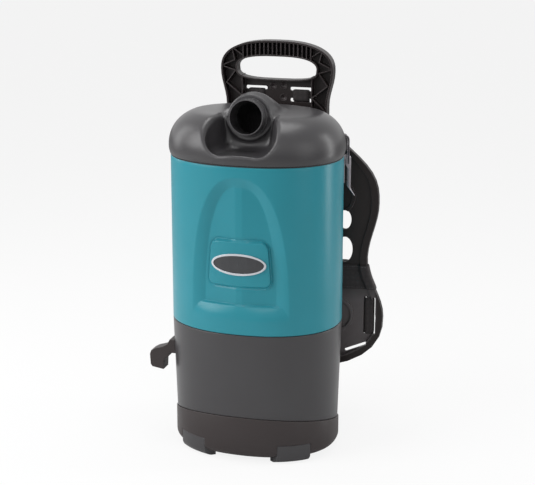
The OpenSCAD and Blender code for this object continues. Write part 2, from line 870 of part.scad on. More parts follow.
// Rocker on a cross pin: a dished prism whose two ends rise and fall
module switch_rocker() color(RUBBER) at_switch() rotate([90, 0, 0]) {
    translate([-2, 0, -switch_w / 2 + 3.5]) rotate(rocker_tilt) translate([2, 0])
        linear_extrude(switch_w - 7)
            polygon([[-5, -6], [1, -rocker_r], [5.2, -rocker_r], [3.4, 0], [5.2, rocker_r],
                [1, rocker_r], [-5, 6]]);
    translate([-2, 0, -switch_w / 2 + 1]) cylinder(r = rocker_pin_r, h = switch_w - 2);
}

// Frame of the exhaust grille on the right, towards the back
module at_grille() {
    x = side_x(grille_y, 140);
    turn = atan(pow(grille_y / x, body_square - 1) * pow(half_w / half_d, body_square));
    translate([x, grille_y, 0]) rotate([0, 0, turn]) children();
}

module grille_hole()
    at_grille() translate([-15, -grille_w / 2 + 4, grille_low_z + 4])
        cube([30, grille_w - 8, grille_high_z - grille_low_z - 8]);

// Shell that follows the housing's wall between depths d0 (outer) and d1
module wall_layer(d0, d1, z0, z1) difference() {
    tapered_oval(d0, z0, z1);
    tapered_oval(d1, z0 - 1, z1 + 1);
}

module exhaust_grille() color(DARK) difference() {
    union() {
        intersection() {
            wall_layer(-2.8, -FIT, grille_low_z, grille_high_z);
            at_grille() translate([-30, -grille_w / 2, 0]) cube([60, grille_w, 200]);
        }
        intersection() {
            wall_layer(-FIT - 0.1, wall + 1, grille_low_z + 4.3, grille_high_z - 4.3);
            at_grille() translate([-30, -grille_w / 2 + 4.3, 0])
                cube([60, grille_w - 8.6, 200]);
        }
    }
    // slots between the grille's bars
    for (z = [grille_low_z + 9:7:grille_high_z - 12])
        at_grille() translate([-30, -grille_w / 2 + 8, z]) cube([60, grille_w - 16, 3.5]);
}

// ---------- lid ----------

// Outer form of the lid, inset by d, from its lower edge up
module dome(d, low) {
    a = dome_half_w - d;
    b = dome_half_d - d;
    top = dome_top_z - d;
    foot = [for (z = [low, (low + dome_belly_z) / 2])
        let (s = dome_swell * pow((dome_belly_z - z) / (dome_belly_z - lid_low_z), 2))
        [for (p = oval(a - s, b - s / 2)) [p[0], p[1], z]]];
    crown = [for (i = [0:DOME_STEPS]) let (
            up = pow(sin(90 * i / DOME_STEPS), 2 / 2.2),
            out = pow(cos(90 * i / DOME_STEPS), 2 / 2.2),
            ra = dome_flat_w / 2 + (a - dome_flat_w / 2) * out,
            rb = dome_flat_d / 2 + (b - dome_flat_d / 2) * out)
        [for (p = oval(ra, rb)) [p[0], p[1], dome_belly_z + (top - dome_belly_z) * up]]];
    skin(concat(foot, crown));
}

// Unit steps along the inlet's axis, from the cuff's mouth inwards
function port_at(s) = [0, -port_y + s * cos(port_tilt), port_z - s * sin(port_tilt)];

// Frame whose +Z runs inwards along the inlet's axis, from s behind the mouth
module at_port(s) translate(port_at(s)) rotate([-90 - port_tilt, 0, 0]) children();

function bend_centre() = port_at(bend_s) + elbow_bend_r * [0, -sin(port_tilt), -cos(port_tilt)];
function elbow_end() = bend_centre() + [0, elbow_bend_r, 0];

// Hood over the elbow, from the collar back into the lid's top, inset by d
module hood(d, from) {
    hull() {
        at_port(from) cylinder(r = collar_r - d, h = 1, $fn = 48);
        translate([0, -12, port_z - 6]) rotate([-90, 0, 0])
            cylinder(r = collar_r + 5 - d, h = 1, $fn = 48);
        translate([0, 14, port_z - 26]) rotate([-90, 0, 0])
            cylinder(r = collar_r + 14 - d, h = 1, $fn = 48);
        translate([0, 50, port_z - 42]) rotate([-90, 0, 0])
            cylinder(r = collar_r + 8 - d, h = 1, $fn = 48);
    }
}

// Pocket in front of the inlet: a round-cornered bowl that opens towards the top, grown by g
module pocket(g) hull() {
    translate([0, 0, pocket_floor_z - g]) linear_extrude(1)
        polygon(pocket_ring(pocket_half_w + g, half_d - 10 + g, pocket_back_y - g));
    translate([0, 0, dome_top_z + 20]) linear_extrude(1)
        polygon(pocket_ring(pocket_half_w + 14 + g, half_d + 30, pocket_back_y - 10 - g));
}

// Outline of the pocket seen from above: narrow at the collar, wide and round in front
function pocket_ring(w, front, back, r = 26) = concat(
    [[-collar_r - 4, -back], [-w, -back - 20]],
    [for (a = [180:15:270]) [-w + r + r * cos(a), -front + r + r * sin(a)]],
    [for (a = [270:15:360]) [w - r + r * cos(a), -front + r + r * sin(a)]],
    [[w, -back - 20], [collar_r + 4, -back]]);

module lid_dome() color(GREY) difference() {
    union() {
        difference() {
            dome(0, lid_low_z);
            difference() {
                dome(wall, lid_low_z - 1);
                pocket(wall);
            }
            pocket(0);
        }
        // inner flange that presses on the seal
        difference() {
            oval_prism(0.8, lid_low_z, lid_low_z + 3);
            oval_prism(wall + 3, lid_low_z - 1, lid_low_z + 4);
        }
        difference() {
            hood(0, port_reach);
            translate([-200, -200, lid_low_z - 100]) cube([400, 400, 100 + 20]);
        }
    }
    hood(wall, port_reach + collar_t);
    at_port(port_reach - 5) cylinder(r = port_r + port_wall + FIT, h = collar_t + 10);
    at_port(port_reach + 2.5) cylinder(r = seal_outer_r, h = 3);
}

module swivel_seal() color(RUBBER)
    at_port(port_reach + 2.5) tube(port_r + port_wall + FIT, seal_outer_r, 3);

module swivel_cuff() color(GREY) at_port(0) rotate_extrude() polygon([
    [port_r, 0], [port_r + port_wall - 0.6, 0], [port_r + port_wall - 0.6, cuff_lip],
    [port_r + port_wall, cuff_lip], [port_r + port_wall, port_reach - 3],
    [port_r + port_wall + 2, port_reach - 3], [port_r + port_wall + 2, port_reach - FIT],
    [port_r + port_wall, port_reach - FIT], [port_r + port_wall, cuff_len], [port_r, cuff_len]]);

module swivel_clip() color(STEEL)
    at_port(port_reach + collar_t + FIT) tube(port_r + port_wall, port_r + port_wall + 2.5, 2);

// Places along the elbow's middle line, each with the fall of the line there in degrees
function elbow_path(from, low) = concat(
    [[port_at(from), port_tilt]],
    [for (i = [0:ELBOW_STEPS]) let (t = port_tilt + (90 - port_tilt) * i / ELBOW_STEPS)
        [bend_centre() + elbow_bend_r * [0, sin(t), cos(t)], t]],
    [[[0, spigot_y, low], 90]]);

// Ring of radius r round a place on the elbow's middle line
function elbow_ring(place, r) = [for (i = [0:ELBOW_SIDES - 1]) let (a = 360 * i / ELBOW_SIDES)
    place[0] + r * [cos(a), -sin(a) * sin(place[1]), -sin(a) * cos(place[1])]];

// The rings run down the outside, from the flange inside the hood, and back up the bore
module inlet_elbow() color(GREY) {
    path = elbow_path(cuff_len + FIT, bag_collar_z - 6);
    flange_back = [port_at(cuff_len + FIT + 3), port_tilt];
    last = len(path) - 1;
    loop_skin(concat(
        [elbow_ring(path[0], elbow_flange_r), elbow_ring(flange_back, elbow_flange_r),
            elbow_ring(flange_back, spigot_r)],
        [for (j = [1:last]) elbow_ring(path[j], spigot_r)],
        [for (j = [last:-1:0]) elbow_ring(path[j], port_r)]));
}

// ---------- latches ----------

// Frame of the right-hand (s = 1) or left-hand (s = -1) latch: local +X points outwards
module at_latch(s) mirror([s > 0 ? 0 : 1, 0, 0])
    translate([latch_x, latch_y, 0]) rotate([0, 0, latch_turn]) children();

module both_latches() for (s = [-1, 1]) at_latch(s) children();

// Pin along the latch's width at (u, z)
module cross_pin(u, z, r, half_len)
    translate([u, half_len, z]) rotate([90, 0, 0]) cylinder(r = r, h = 2 * half_len);

module latch_bases() color(STEEL) both_latches() difference() {
    union() {
        translate([FIT, -6.5, latch_pivot_z - 40]) cube([1.2, 13, 40 + ear_r]);
        for (w = [-ear_half_w, ear_half_w - 1.2]) {
            translate([FIT, w, latch_pivot_z - ear_r]) cube([pivot_u - FIT, 1.2, 2 * ear_r]);
            translate([pivot_u, w + 1.2, latch_pivot_z]) rotate([90, 0, 0])
                cylinder(r = ear_r, h = 1.2);
        }
        // rivet heads
        for (z = [latch_pivot_z - 34, latch_pivot_z - 18])
            translate([FIT, 0, z]) rotate([0, 90, 0]) cylinder(r = 2.2, h = 2.2);
    }
    cross_pin(pivot_u, latch_pivot_z, latch_pin_r, 20);
}

module latch_pins() color(STEEL) both_latches()
    cross_pin(pivot_u, latch_pivot_z, latch_pin_r, lever_w / 2);

// Flat strip between (u, z) points, lever_w wide, from w = from
module side_plate(outline, from, width) translate([0, from + width, 0])
    rotate([90, 0, 0]) linear_extrude(width) polygon(outline);

module latch_lever() color(STEEL) difference() {
    boss_r = ear_r + pin_gap + 0.1;
    plate_u = pivot_u + boss_r;
    bend_z = latch_pivot_z - lever_len + 10;
    tip = 13 * [sin(lever_bend), -cos(lever_bend)];
    side = lever_t * [cos(lever_bend), sin(lever_bend)];
    union() {
        // flat of the lever and its bent finger tip
        side_plate([[plate_u, latch_pivot_z - 0.6], [plate_u, bend_z],
            [plate_u, bend_z] + tip, [plate_u, bend_z] + tip + side,
            [plate_u + lever_t, bend_z + lever_t * tan(lever_bend / 2)],
            [plate_u + lever_t, latch_pivot_z - 0.6]], -lever_w / 2, lever_w);
        // side flanges that carry both pivots
        for (w = [-lever_w / 2, lever_w / 2 - flange_t])
            side_plate(concat(
                [[plate_u + 0.3, bail_pivot_z - 4], [pivot_u - boss_r, bail_pivot_z - 4]],
                [for (a = [180:-15:0])
                    [pivot_u + boss_r * cos(a), latch_pivot_z + boss_r * sin(a)]],
                [[plate_u + 0.3, latch_pivot_z]]), w, flange_t);
    }
    cross_pin(pivot_u, latch_pivot_z, latch_pin_r + pin_gap, 20);
    cross_pin(pivot_u, bail_pivot_z, wire_r + pin_gap, 20);
}

module latch_lever_left() at_latch(-1) latch_lever();
module latch_lever_right() at_latch(1) latch_lever();

// Round wire between two points
module wire(p, q) {
    v = q - p;
    len = norm(v);
    translate(p) rotate([0, acos(v[2] / len), atan2(v[1], v[0])])
        cylinder(r = wire_r, h = len, $fn = 32);
    translate(q) sphere(wire_r + 0.06, $fn = 32);
}

module latch_bail() color(STEEL) {
    for (s = [-1, 1]) {
        pin_in = [pivot_u, s * (lever_w / 2 - flange_t), bail_pivot_z];
        pin_out = [pivot_u, s * bail_half_w, bail_pivot_z];
        knee = [pivot_u, s * bail_half_w, bar_z - 7];
        hook = [pivot_u - 1.8, s * bail_half_w, bar_z - 1.8];
        corner = [bar_u, s * bail_half_w, bar_z];
        wire(pin_in, pin_out);
        wire(pin_out, knee);
        wire(knee, hook);
        wire(hook, corner);
    }
    wire([bar_u, -bail_half_w, bar_z], [bar_u, bail_half_w, bar_z]);
}

module latch_bail_left() at_latch(-1) latch_bail();
module latch_bail_right() at_latch(1) latch_bail();

module lid_catches() color(GREY) difference() {
    both_latches() rotate([90, 0, 0]) translate([0, 0, -catch_half_w])
        linear_extrude(2 * catch_half_w)
            polygon([[-6, lid_low_z + 4], [5.5, lid_low_z + 4], [5.5, catch_top_z - 1.6],
                [3.2, catch_top_z], [-6, catch_top_z]]);
    dome(-0.05, lid_low_z);
}

// ---------- harness frame ----------

// Eased step from 0 to 1
function smooth(t) = (1 - cos(180 * t)) / 2;

// Half-width of the plate at height z
function plate_half(z) =
    let (low = lobe_low_w / 2, waist = waist_w / 2, high = lobe_high_w / 2, neck = neck_w / 2)
    z < lobe_low_z
        ? low * pow(max(0, 1 - pow((lobe_low_z - z) / (lobe_low_z - plate_low_z), 2.6)), 1 / 2.6)
    : z < waist_z ? low + (waist - low) * smooth((z - lobe_low_z) / (waist_z - lobe_low_z))
    : z < lobe_high_z ? waist + (high - waist) * smooth((z - waist_z) / (lobe_high_z - waist_z))
    : high + (neck - high) * smooth(pow(min(1, (z - lobe_high_z) / (neck_z - lobe_high_z)), 1.4));

// Outline of the plate in x and z, inset by d
function plate_side(d) = concat(
    [for (i = [0:8]) let (z = lobe_low_z - (lobe_low_z - plate_low_z - d) * cos(90 * i / 8))
        [max(0, plate_half(z - d * cos(90 * i / 8)) - d), z]],
    [for (i = [1:26]) let (z = lobe_low_z + (neck_z - lobe_low_z) * i / 26)
        [plate_half(z) - d, z]]);

module plate_outline(d) {
    side = plate_side(d);
    polygon(concat(side, [for (i = [len(side) - 1:-1:0]) [-side[i][0], side[i][1]]]));
}

// Layer between depths t0 and t1 behind the plate's front face, cut to a flat outline
module bent(t0, t1) intersection() {
    translate([0, plate_y + plate_bend_r, plate_low_z - 20]) difference() {
        cylinder(r = plate_bend_r - t0, h = 600, $fn = 128);
        translate([0, 0, -1]) cylinder(r = plate_bend_r - t1, h = 602, $fn = 128);
    }
    translate([0, plate_y + 110, 0]) rotate([90, 0, 0]) linear_extrude(170) children();
}

// Depth of the bent plate's front face at a distance x from the middle
function plate_face(x) = plate_y + plate_bend_r - sqrt(plate_bend_r * plate_bend_r - x * x);

module strap_slots() for (s = [-1, 1]) mirror([s > 0 ? 0 : 1, 0]) {
    rounded([slot_x - slot_w / 2, slot_low_z], [slot_x + slot_w / 2, slot_high_z], slot_w / 2 - 0.1);
    rounded([slot_x - slot_gap - slot_w, slot_low_z], [slot_x - slot_gap, slot_high_z],
        slot_w / 2 - 0.1);
    translate([lobe_low_w / 2 - 61, lobe_low_z - 59]) rotate(21) rounded([0, -2.5], [38, 2.5], 2.4);
    // finger windows over and under each other
    translate([window_x, 347]) polygon(oval(10, 16, 2, 40));
    translate([window_x, 297]) polygon(oval(12.5, 21, 2, 40));
}

module plate_dish(z, r_out, r_in) for (x = [-98, 98]) translate([x, z]) difference() {
    circle(r_out);
    circle(r_in);
}

module backplate() color(BLACK) difference() {
    union() {
        bent(0, plate_t) plate_outline(0);
        bent(-rim_h, 0.01) difference() {
            plate_outline(0);
            plate_outline(rim_w);
        }
        bent(-3, 0.01) plate_dish(185, 31, 26);
        bent(-3, 0.01) plate_dish(385, 31, 26);
    }
    bent(-20, 20) strap_slots();
    at_spacers() translate([0, plate_y - 20, 0]) rotate([-90, 0, 0])
        cylinder(r = screw_r + pin_gap, h = 60);
}

module frame_spacers() color(BLACK) difference() {
    at_spacers() translate([0, surface_y(spacer_x) - 12, 0]) rotate([-90, 0, 0])
        cylinder(r = 9, h = plate_face(spacer_x) - surface_y(spacer_x) + 12 + 3);
    oval_prism(-0.1, tank_low_z, tank_top_z);
    tapered_oval(-0.1, 60, tank_low_z + 1);
    bent(-0.05, 60) translate([-200, 60]) square([400, 440]);
    at_spacers() translate([0, 50, 0]) rotate([-90, 0, 0])
        cylinder(r = screw_r + pin_gap, h = 90);
}

module frame_screws() color(STEEL) at_spacers() {
    back = plate_face(spacer_x) + plate_t + 0.6;
    translate([0, surface_y(spacer_x) - 14, 0]) rotate([-90, 0, 0])
        cylinder(r = screw_r, h = back - surface_y(spacer_x) + 14);
    translate([0, back, 0]) rotate([-90, 0, 0]) cylinder(r = 5, h = 2.5);
}

// Outline of the handle's outside, inset by d
function handle_side(d) =
    let (w = handle_w / 2 - d, top = handle_top_z - d, n = neck_w / 2 - d)
    concat([[n, neck_z], [n, neck_z + 17]],
        [for (i = [1:5]) let (t = i / 6) [n + (w - n) * smooth(t),
            neck_z + 17 + (shoulder_z - neck_z - 17) * t]],
        [for (i = [0:16]) let (a = 90 * i / 16)
            [w * spow(cos(a), 2 / 2.5), shoulder_z + (top - shoulder_z) * spow(sin(a), 2 / 2.5)]]);

module handle_outline(d) {
    side = handle_side(d);
    polygon(concat(side, [for (i = [len(side) - 2:-1:0]) [-side[i][0], side[i][1]]]));
}

// Grip opening, grown by g
module grip_hole(g) {
    half = grip_w / 2 + g;
    low = grip_low_z - g;
    high = grip_top_z + g;
    mid = (grip_low_z + grip_top_z) / 2;
    up = [for (i = [0:12]) let (a = 90 * i / 12)
        [half * spow(cos(a), 2 / 3), mid + (high - mid) * spow(sin(a), 2 / 2.2)]];
    down = [for (i = [0:8]) let (a = -90 + 90 * i / 8)
        [half * spow(cos(a), 2 / 3.4), mid + (mid - low) * spow(sin(a), 2 / 3.4)]];
    right = concat(down, [for (i = [1:12]) up[i]]);
    polygon(concat(right, [for (i = [len(right) - 2:-1:1]) [-right[i][0], right[i][1]]]));
}

// Flat shape in x and z, extruded between depths y0 and y1
module panel(y0, y1) translate([0, y1, 0]) rotate([90, 0, 0]) linear_extrude(y1 - y0) children();

// Line of thickness rib_t between two points
module rib_line(p, q) {
    v = q - p;
    translate(p) rotate(atan2(v[1], v[0])) translate([0, -rib_t / 2]) square([norm(v), rib_t]);
}

// Zigzag in the handle's right leg, from the shoulder down
zigzag = [[58, 611], [75, 622], [70, 602], [92, 592], [69, 585], [84, 565], [58, 545],
    [83, 522]];

module handle_slots() for (s = [-1, 1], z = [handle_slot_z, handle_slot_z + handle_slot_gap])
    mirror([s > 0 ? 0 : 1, 0])
        rounded([handle_slot_x - handle_slot_w / 2, z],
            [handle_slot_x + handle_slot_w / 2, z + handle_slot_h], handle_slot_h / 2 - 0.1);

module carry_handle() color(BLACK) difference() {
    union() {
        // back skin
        panel(handle_back - handle_wall, handle_back) difference() {
            handle_outline(0);
            grip_hole(0);
            handle_slots();
        }
        // outer wall of the channel
        panel(handle_front, handle_back) difference() {
            handle_outline(0);
            handle_outline(handle_wall);
            translate([-leg_x, neck_z - 1]) square([2 * leg_x, 5]);
        }
        // wall round the grip opening
        panel(handle_front, handle_back) difference() {
            grip_hole(handle_wall - 0.6);
            grip_hole(0);
        }
        // inner walls of the legs
        for (s = [-1, 1]) panel(handle_front + 2, handle_back)
            translate([s * (leg_x + rib_t / 2) - rib_t / 2, neck_z])
                square([rib_t, grip_low_z - neck_z + 6]);
        // ribs across the grip
        for (i = [0:grip_ribs - 1])
            let (x = (i / (grip_ribs - 1) - 0.5) * 2 * 56)
                panel(handle_front + 1.5, handle_back) intersection() {
                    translate([x - rib_t / 2, grip_top_z - 12]) square([rib_t, 40]);
                    difference() {
                        handle_outline(handle_wall - 0.5);
                        grip_hole(handle_wall - 1);
                    }
                }
        // zigzag ribs in the legs
        for (s = [-1, 1]) panel(handle_front + 1.5, handle_back) intersection() {
            mirror([s > 0 ? 0 : 1, 0]) for (i = [0:len(zigzag) - 2])
                rib_line(zigzag[i], zigzag[i + 1]);
            difference() {
                handle_outline(handle_wall - 0.5);
                grip_hole(handle_wall - 1);
            }
        }
    }
    // marks of the moulding's bosses
    for (p = [[-10, 561], [8, 561], [8, 543]])
        translate([p[0], handle_back + 1, p[1]]) rotate([90, 0, 0]) cylinder(r = 2, h = 2);
}

// ---------- harness ----------

// Pair of upright strips along the plate's edges, at the band's height
module strip(d_in, d_out) for (s = [-1, 1]) mirror([s > 0 ? 0 : 1, 0])
    polygon(concat(
        [for (i = [0:6]) let (z = band_low_z + belt_h * i / 6) [plate_half(z) - d_in, z]],
        [for (i = [6:-1:0]) let (z = band_low_z + belt_h * i / 6)
            [plate_half(z) - d_out, z]]));

// Band of the waist belt round the front of the plate
module lumbar_band() color(BLACK) {
    bent(-web_t - FIT, -FIT) translate([-150, band_low_z]) intersection() {
        square([300, belt_h]);
        translate([150, -band_low_z]) plate_outline(rim_w + 1);
    }
    bent(-rim_h - web_t - FIT, -FIT) strip(rim_w + 1.01, rim_w + FIT);
    bent(-rim_h - web_t - FIT, -rim_h - FIT) strip(rim_w + FIT + 0.01, -FIT - web_t);
    bent(-rim_h - web_t - FIT, plate_t + web_t + FIT) strip(-FIT, -FIT - web_t);
    bent(plate_t + FIT, plate_t + web_t + FIT) strip(20, -FIT - 0.01);
}

// Padded piece behind the plate, with round edges
module soft_bent(t0, t1, low, high, r) {
    edge = 3;
    bent(t0, t0 + edge) rounded(low + [edge / 2, edge / 2], high - [edge / 2, edge / 2], r);
    bent(t0 + edge, t1 - edge) rounded(low, high, r);
    bent(t1 - edge, t1) rounded(low + [edge / 2, edge / 2], high - [edge / 2, edge / 2], r);
}

module lumbar_pad() color(BLACK)
    soft_bent(pad_depth, pad_depth + belt_t + 3, [-lumbar_half_w, lumbar_low_z],
        [lumbar_half_w, lumbar_high_z], 14);

module belt_wing() color(BLACK) {
    soft_bent(wing_t0, wing_t0 + belt_t, [wing_in, belt_z - 27], [wing_out, belt_z + 20], 10);
    bent(buckle_t0 + 3 + FIT, buckle_t0 + 3 + FIT + web_t)
        translate([21, buckle_z - web_w / 2]) square([wing_in - 20, web_w]);
}

module belt_wing_right() belt_wing();
module belt_wing_left() mirror([1, 0, 0]) belt_wing();

module buckle_socket() color(BLACK) difference() {
    bent(buckle_t0, buckle_t1) rounded([-24, buckle_z - 20], [8, buckle_z + 20], 4);
    bent(buckle_t0 + 1.8, buckle_t1 - 1.8) translate([-17, buckle_z - 15]) square([30, 30]);
    bent(buckle_t0 + 3, buckle_t1 + 1) translate([-24 - 1, buckle_z - web_w / 2 - 1])
        square([5, web_w + 2]);
    // opening of the release button
    translate([-8, buckle_y + 20, buckle_z]) rotate([90, 0, 0]) cylinder(r = 6.5 + FIT, h = 20);
}

module buckle_button() color(GREY)
    translate([-8, plate_y + buckle_t1 + 1.2, buckle_z]) rotate([90, 0, 0])
        cylinder(r = 6.5, h = 3.2);

module buckle_plug() color(BLACK) {
    difference() {
        bent(buckle_t0, buckle_t1) rounded([8.3, buckle_z - 20], [24, buckle_z + 20], 4);
        bent(buckle_t0 + 3, buckle_t1 + 1) translate([17.5, buckle_z - web_w / 2 - 1])
            square([10, web_w + 2]);
    }
    bent(buckle_t0 + 2.2, buckle_t0 + 4.4) translate([-13, buckle_z - 13]) square([22, 26]);
}

// Arch of a shoulder strap seen from the side: depth behind the plate at height z
function strap_y(z) =
    let (up = (z - strap_low_z) / (strap_top_z - strap_low_z),
        foot = plate_face(strap_x + strap_shift + pad_w / 2) + web_t1 + FIT,
        head = handle_back + FIT + 0.5)
    foot + (head - foot) * up + strap_bulge * spow(max(0, sin(180 * up)), 0.8);

module shoulder_pad() color(BLACK) {
    n = 24;
    inner = [for (i = [0:n]) let (z = strap_low_z + (strap_top_z - strap_low_z) * i / n)
        [strap_y(z), z]];
    outer = [for (i = [n:-1:0]) let (z = strap_low_z + (strap_top_z - strap_low_z) * i / n,
        t = pad_t * spow(max(0.02, sin(180 * i / n)), 0.25)) [strap_y(z) + t, z]];
    translate([strap_x - pad_w / 2 + strap_shift, 0, 0]) rotate([90, 0, 90])
        linear_extrude(pad_w) polygon(concat(inner, outer));
}

module shoulder_pad_right() shoulder_pad();
module shoulder_pad_left() mirror([1, 0, 0]) shoulder_pad();

// Loop of webbing round the bar between the handle's two slots
module upper_webbing() color(BLACK) for (s = [-1, 1]) {
    x = s * handle_slot_x - web_w / 2;
    front = handle_back - handle_wall - web_t - FIT;
    low = handle_slot_z + 1.2;
    high = handle_slot_z + handle_slot_gap + 2.5;
    translate([x, front, low]) cube([web_w, web_t, high - low]);
    for (z = [low, high]) translate([x, front, z])
        cube([web_w, handle_wall + 2 * web_t + 2 * FIT, web_t]);
    translate([x, handle_back + FIT, strap_top_z + 1])
        cube([web_w, web_t, high + web_t - strap_top_z - 1]);
}

// Webbing from the foot of each shoulder pad down to the slots in the lower lobes
module lower_webbing() color(BLACK) for (s = [-1, 1]) mirror([s > 0 ? 0 : 1, 0, 0]) {
    from = [64, strap_low_z - 8];
    to = [slot_x - slot_gap - slot_w / 2 - 1, (slot_low_z + slot_high_z) / 2];
    v = to - from;
    bent(web_t0, web_t1) {
        translate(from) rotate(atan2(v[1], v[0]))
            translate([-6, -web_w / 2]) square([norm(v) - 4, web_w]);
        translate([to[0] - 16, to[1] - web_w / 2]) square([16 + web_t, web_w]);
    }
    // through the inner slot, over the bar and back through the outer slot
    bent(-web_t - FIT, web_t1) {
        translate([to[0], to[1] - web_w / 2]) square([web_t, web_w]);
        translate([slot_x - 1, to[1] - web_w / 2]) square([web_t, web_w]);
    }
    bent(-web_t - FIT, -FIT)
        translate([to[0], to[1] - web_w / 2]) square([slot_x + 1 - to[0], web_w]);
}

// Sliding adjusters at the foot of the shoulder pads
module strap_adjusters() color(BLACK) for (s = [-1, 1]) mirror([s > 0 ? 0 : 1, 0, 0])
    difference() {
        bent(web_t1 + FIT, web_t1 + 7) rounded([40, strap_low_z - 18],
            [76, strap_low_z - FIT], 3);
        for (z = [strap_low_z - 14, strap_low_z - 7]) bent(web_t1 - 1, web_t1 + 9)
            translate([45, z]) square([26, 3]);
    }

tank_shell();
badge_rim();
badge_plate();
lid_gasket();
cloth_filter();
filter_bag();
bag_collar();
motor_deck();
motor_filter();
motor_gasket();
motor_fan_case();
motor_frame();
motor_bearings();
brush_holders();
motor_cradle();
motor_housing();
base_cap();
feet_front();
feet_rear();
base_screws();
hepa_filter();
cord_hook();
power_inlet();
switch_bezel();
exhaust_grille();
latch_bases();
latch_pins();
backplate();
carry_handle();
frame_spacers();
frame_screws();
lumbar_band();
lumbar_pad();
belt_wing_left();
belt_wing_right();
buckle_socket();
buckle_plug();
shoulder_pad_left();
shoulder_pad_right();
upper_webbing();
lower_webbing();
strap_adjusters();
lid_dome();
lid_catches();
inlet_elbow();
swivel_seal();
swivel_cuff();
swivel_clip();
latch_lever_left();
latch_lever_right();
latch_bail_left();
latch_bail_right();
impeller();
motor_shaft();
armature();
switch_rocker();
buckle_button();
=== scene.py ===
# %% [markdown]
# # A backpack vacuum cleaner, dressed in Blender
#
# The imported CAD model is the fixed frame: it holds every real size and every moving body.
# This file adds what the eye sees on top of it: soft-edged mouldings, sewn pads, webbing,
# bent wire and the finish of each surface. Everything is in metres, +Z is up, the wearer's
# side faces +Y and the hose inlet faces -Y.

# %% Load the frame
import json
import math

import bpy
import numpy as np
import openvdb
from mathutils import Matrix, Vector
from mathutils.bvhtree import BVHTree


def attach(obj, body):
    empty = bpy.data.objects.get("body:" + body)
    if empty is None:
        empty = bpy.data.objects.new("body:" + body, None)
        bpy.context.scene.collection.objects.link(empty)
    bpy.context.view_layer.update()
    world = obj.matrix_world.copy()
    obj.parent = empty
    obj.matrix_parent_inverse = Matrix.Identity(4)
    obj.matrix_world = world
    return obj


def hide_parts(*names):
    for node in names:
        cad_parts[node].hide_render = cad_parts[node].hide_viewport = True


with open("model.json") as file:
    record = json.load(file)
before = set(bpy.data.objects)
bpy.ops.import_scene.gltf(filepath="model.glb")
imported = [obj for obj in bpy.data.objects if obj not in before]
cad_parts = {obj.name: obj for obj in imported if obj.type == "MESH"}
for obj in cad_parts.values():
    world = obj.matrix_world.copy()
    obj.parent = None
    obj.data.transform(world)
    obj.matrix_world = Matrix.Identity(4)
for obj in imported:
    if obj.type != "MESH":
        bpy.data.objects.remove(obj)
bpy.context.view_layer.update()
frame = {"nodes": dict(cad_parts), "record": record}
scene = bpy.context.scene
MM = 0.001
SIDES = (("right", 1), ("left", -1))

# %% [markdown]
# ## Small helpers
#
# A material is a graph of nodes. Written out in full, each node takes three or four lines, so
# one small function adds a node, sets its values and links its inputs. Colours are given as the
# hex values that a paint chart would use; the renderer works in linear light, so one function
# converts them. The sizes of patterns are real ones, in millimetres.

# %% Colours and nodes
def linear(colour):
    """Linear RGBA of an sRGB hex colour."""
    channels = [int(colour[i:i + 2], 16) / 255 for i in (1, 3, 5)]
    return (*[c / 12.92 if c <= 0.04045 else ((c + 0.055) / 1.055) ** 2.4 for c in channels], 1)


def add(tree, kind, settings=None):
    """Adds a node. A setting names an input or a property; a socket as its value is linked."""
    node = tree.nodes.new(kind)
    for name, value in (settings or {}).items():
        if isinstance(value, bpy.types.NodeSocket):
            tree.links.new(value, node.inputs[name])
        elif isinstance(name, int) or name in node.inputs:
            node.inputs[name].default_value = value
        else:
            setattr(node, name, value)
    return node


def new_material(name):
    """An empty node material: its tree and the object's coordinates."""
    material = bpy.data.materials.new(name)
    material.use_nodes = True
    tree = material.node_tree
    tree.nodes.clear()
    return material, tree, add(tree, "ShaderNodeTexCoord").outputs["Object"]


print("teal in linear light:", [round(c, 3) for c in linear("#288A9A")])

# %% [markdown]
# ## Moulded plastics
#
# The tank, lid, housing and frame are injection-moulded ABS and polypropylene. Such a surface is
# never one flat colour: the melt leaves faint clouds a few centimetres wide, the tool's spark
# texture gives a fine grain, and edges are rubbed a little paler by use. That pale edge tone is
# also a painted highlight, the light that a rounded edge catches. The clouds and the grain are
# noise at their real sizes. The pale edges come from comparing the true normal with a rounded-off
# one: the two differ only near an edge.

# %% Moulded plastic
# the lower lobes of the plate as a superellipse: half-width, height and depth, in metres
LOBE_HALF, LOBE_Z, LOBE_DROP, LOBE_POWER = 0.165, 0.182, 0.081, 2.6


def lobe_light_share(tree, place, high, low):
    """How much painted light from below lies on the lobes: from 0 at one height to 1 at a lower
    one, within the rim.
    """
    split = add(tree, "ShaderNodeSeparateXYZ", {"Vector": place}).outputs
    terms = []
    for term, steps in (
            (split["X"], [("ABSOLUTE", 0.0), ("DIVIDE", LOBE_HALF), ("POWER", LOBE_POWER)]),
            (split["Z"], [("MULTIPLY", -1.0), ("ADD", LOBE_Z), ("MAXIMUM", 0.0),
                          ("DIVIDE", LOBE_DROP), ("POWER", LOBE_POWER)])):
        for operation, number in steps:
            term = add(tree, "ShaderNodeMath", {"operation": operation, 0: term,
                                                1: number}).outputs[0]
        terms.append(term)
    measure = add(tree, "ShaderNodeMath", {"operation": "ADD", 0: terms[0], 1: terms[1]})
    shares = [add(tree, "ShaderNodeMapRange", {"Value": value, "From Min": full,
                                               "From Max": none}).outputs["Result"]
              for value, full, none in ((split["Z"], high, low), (measure.outputs[0], 1.04, 0.96))]
    return add(tree, "ShaderNodeMath", {"operation": "MULTIPLY", 0: shares[0],
                                        1: shares[1]}).outputs[0]


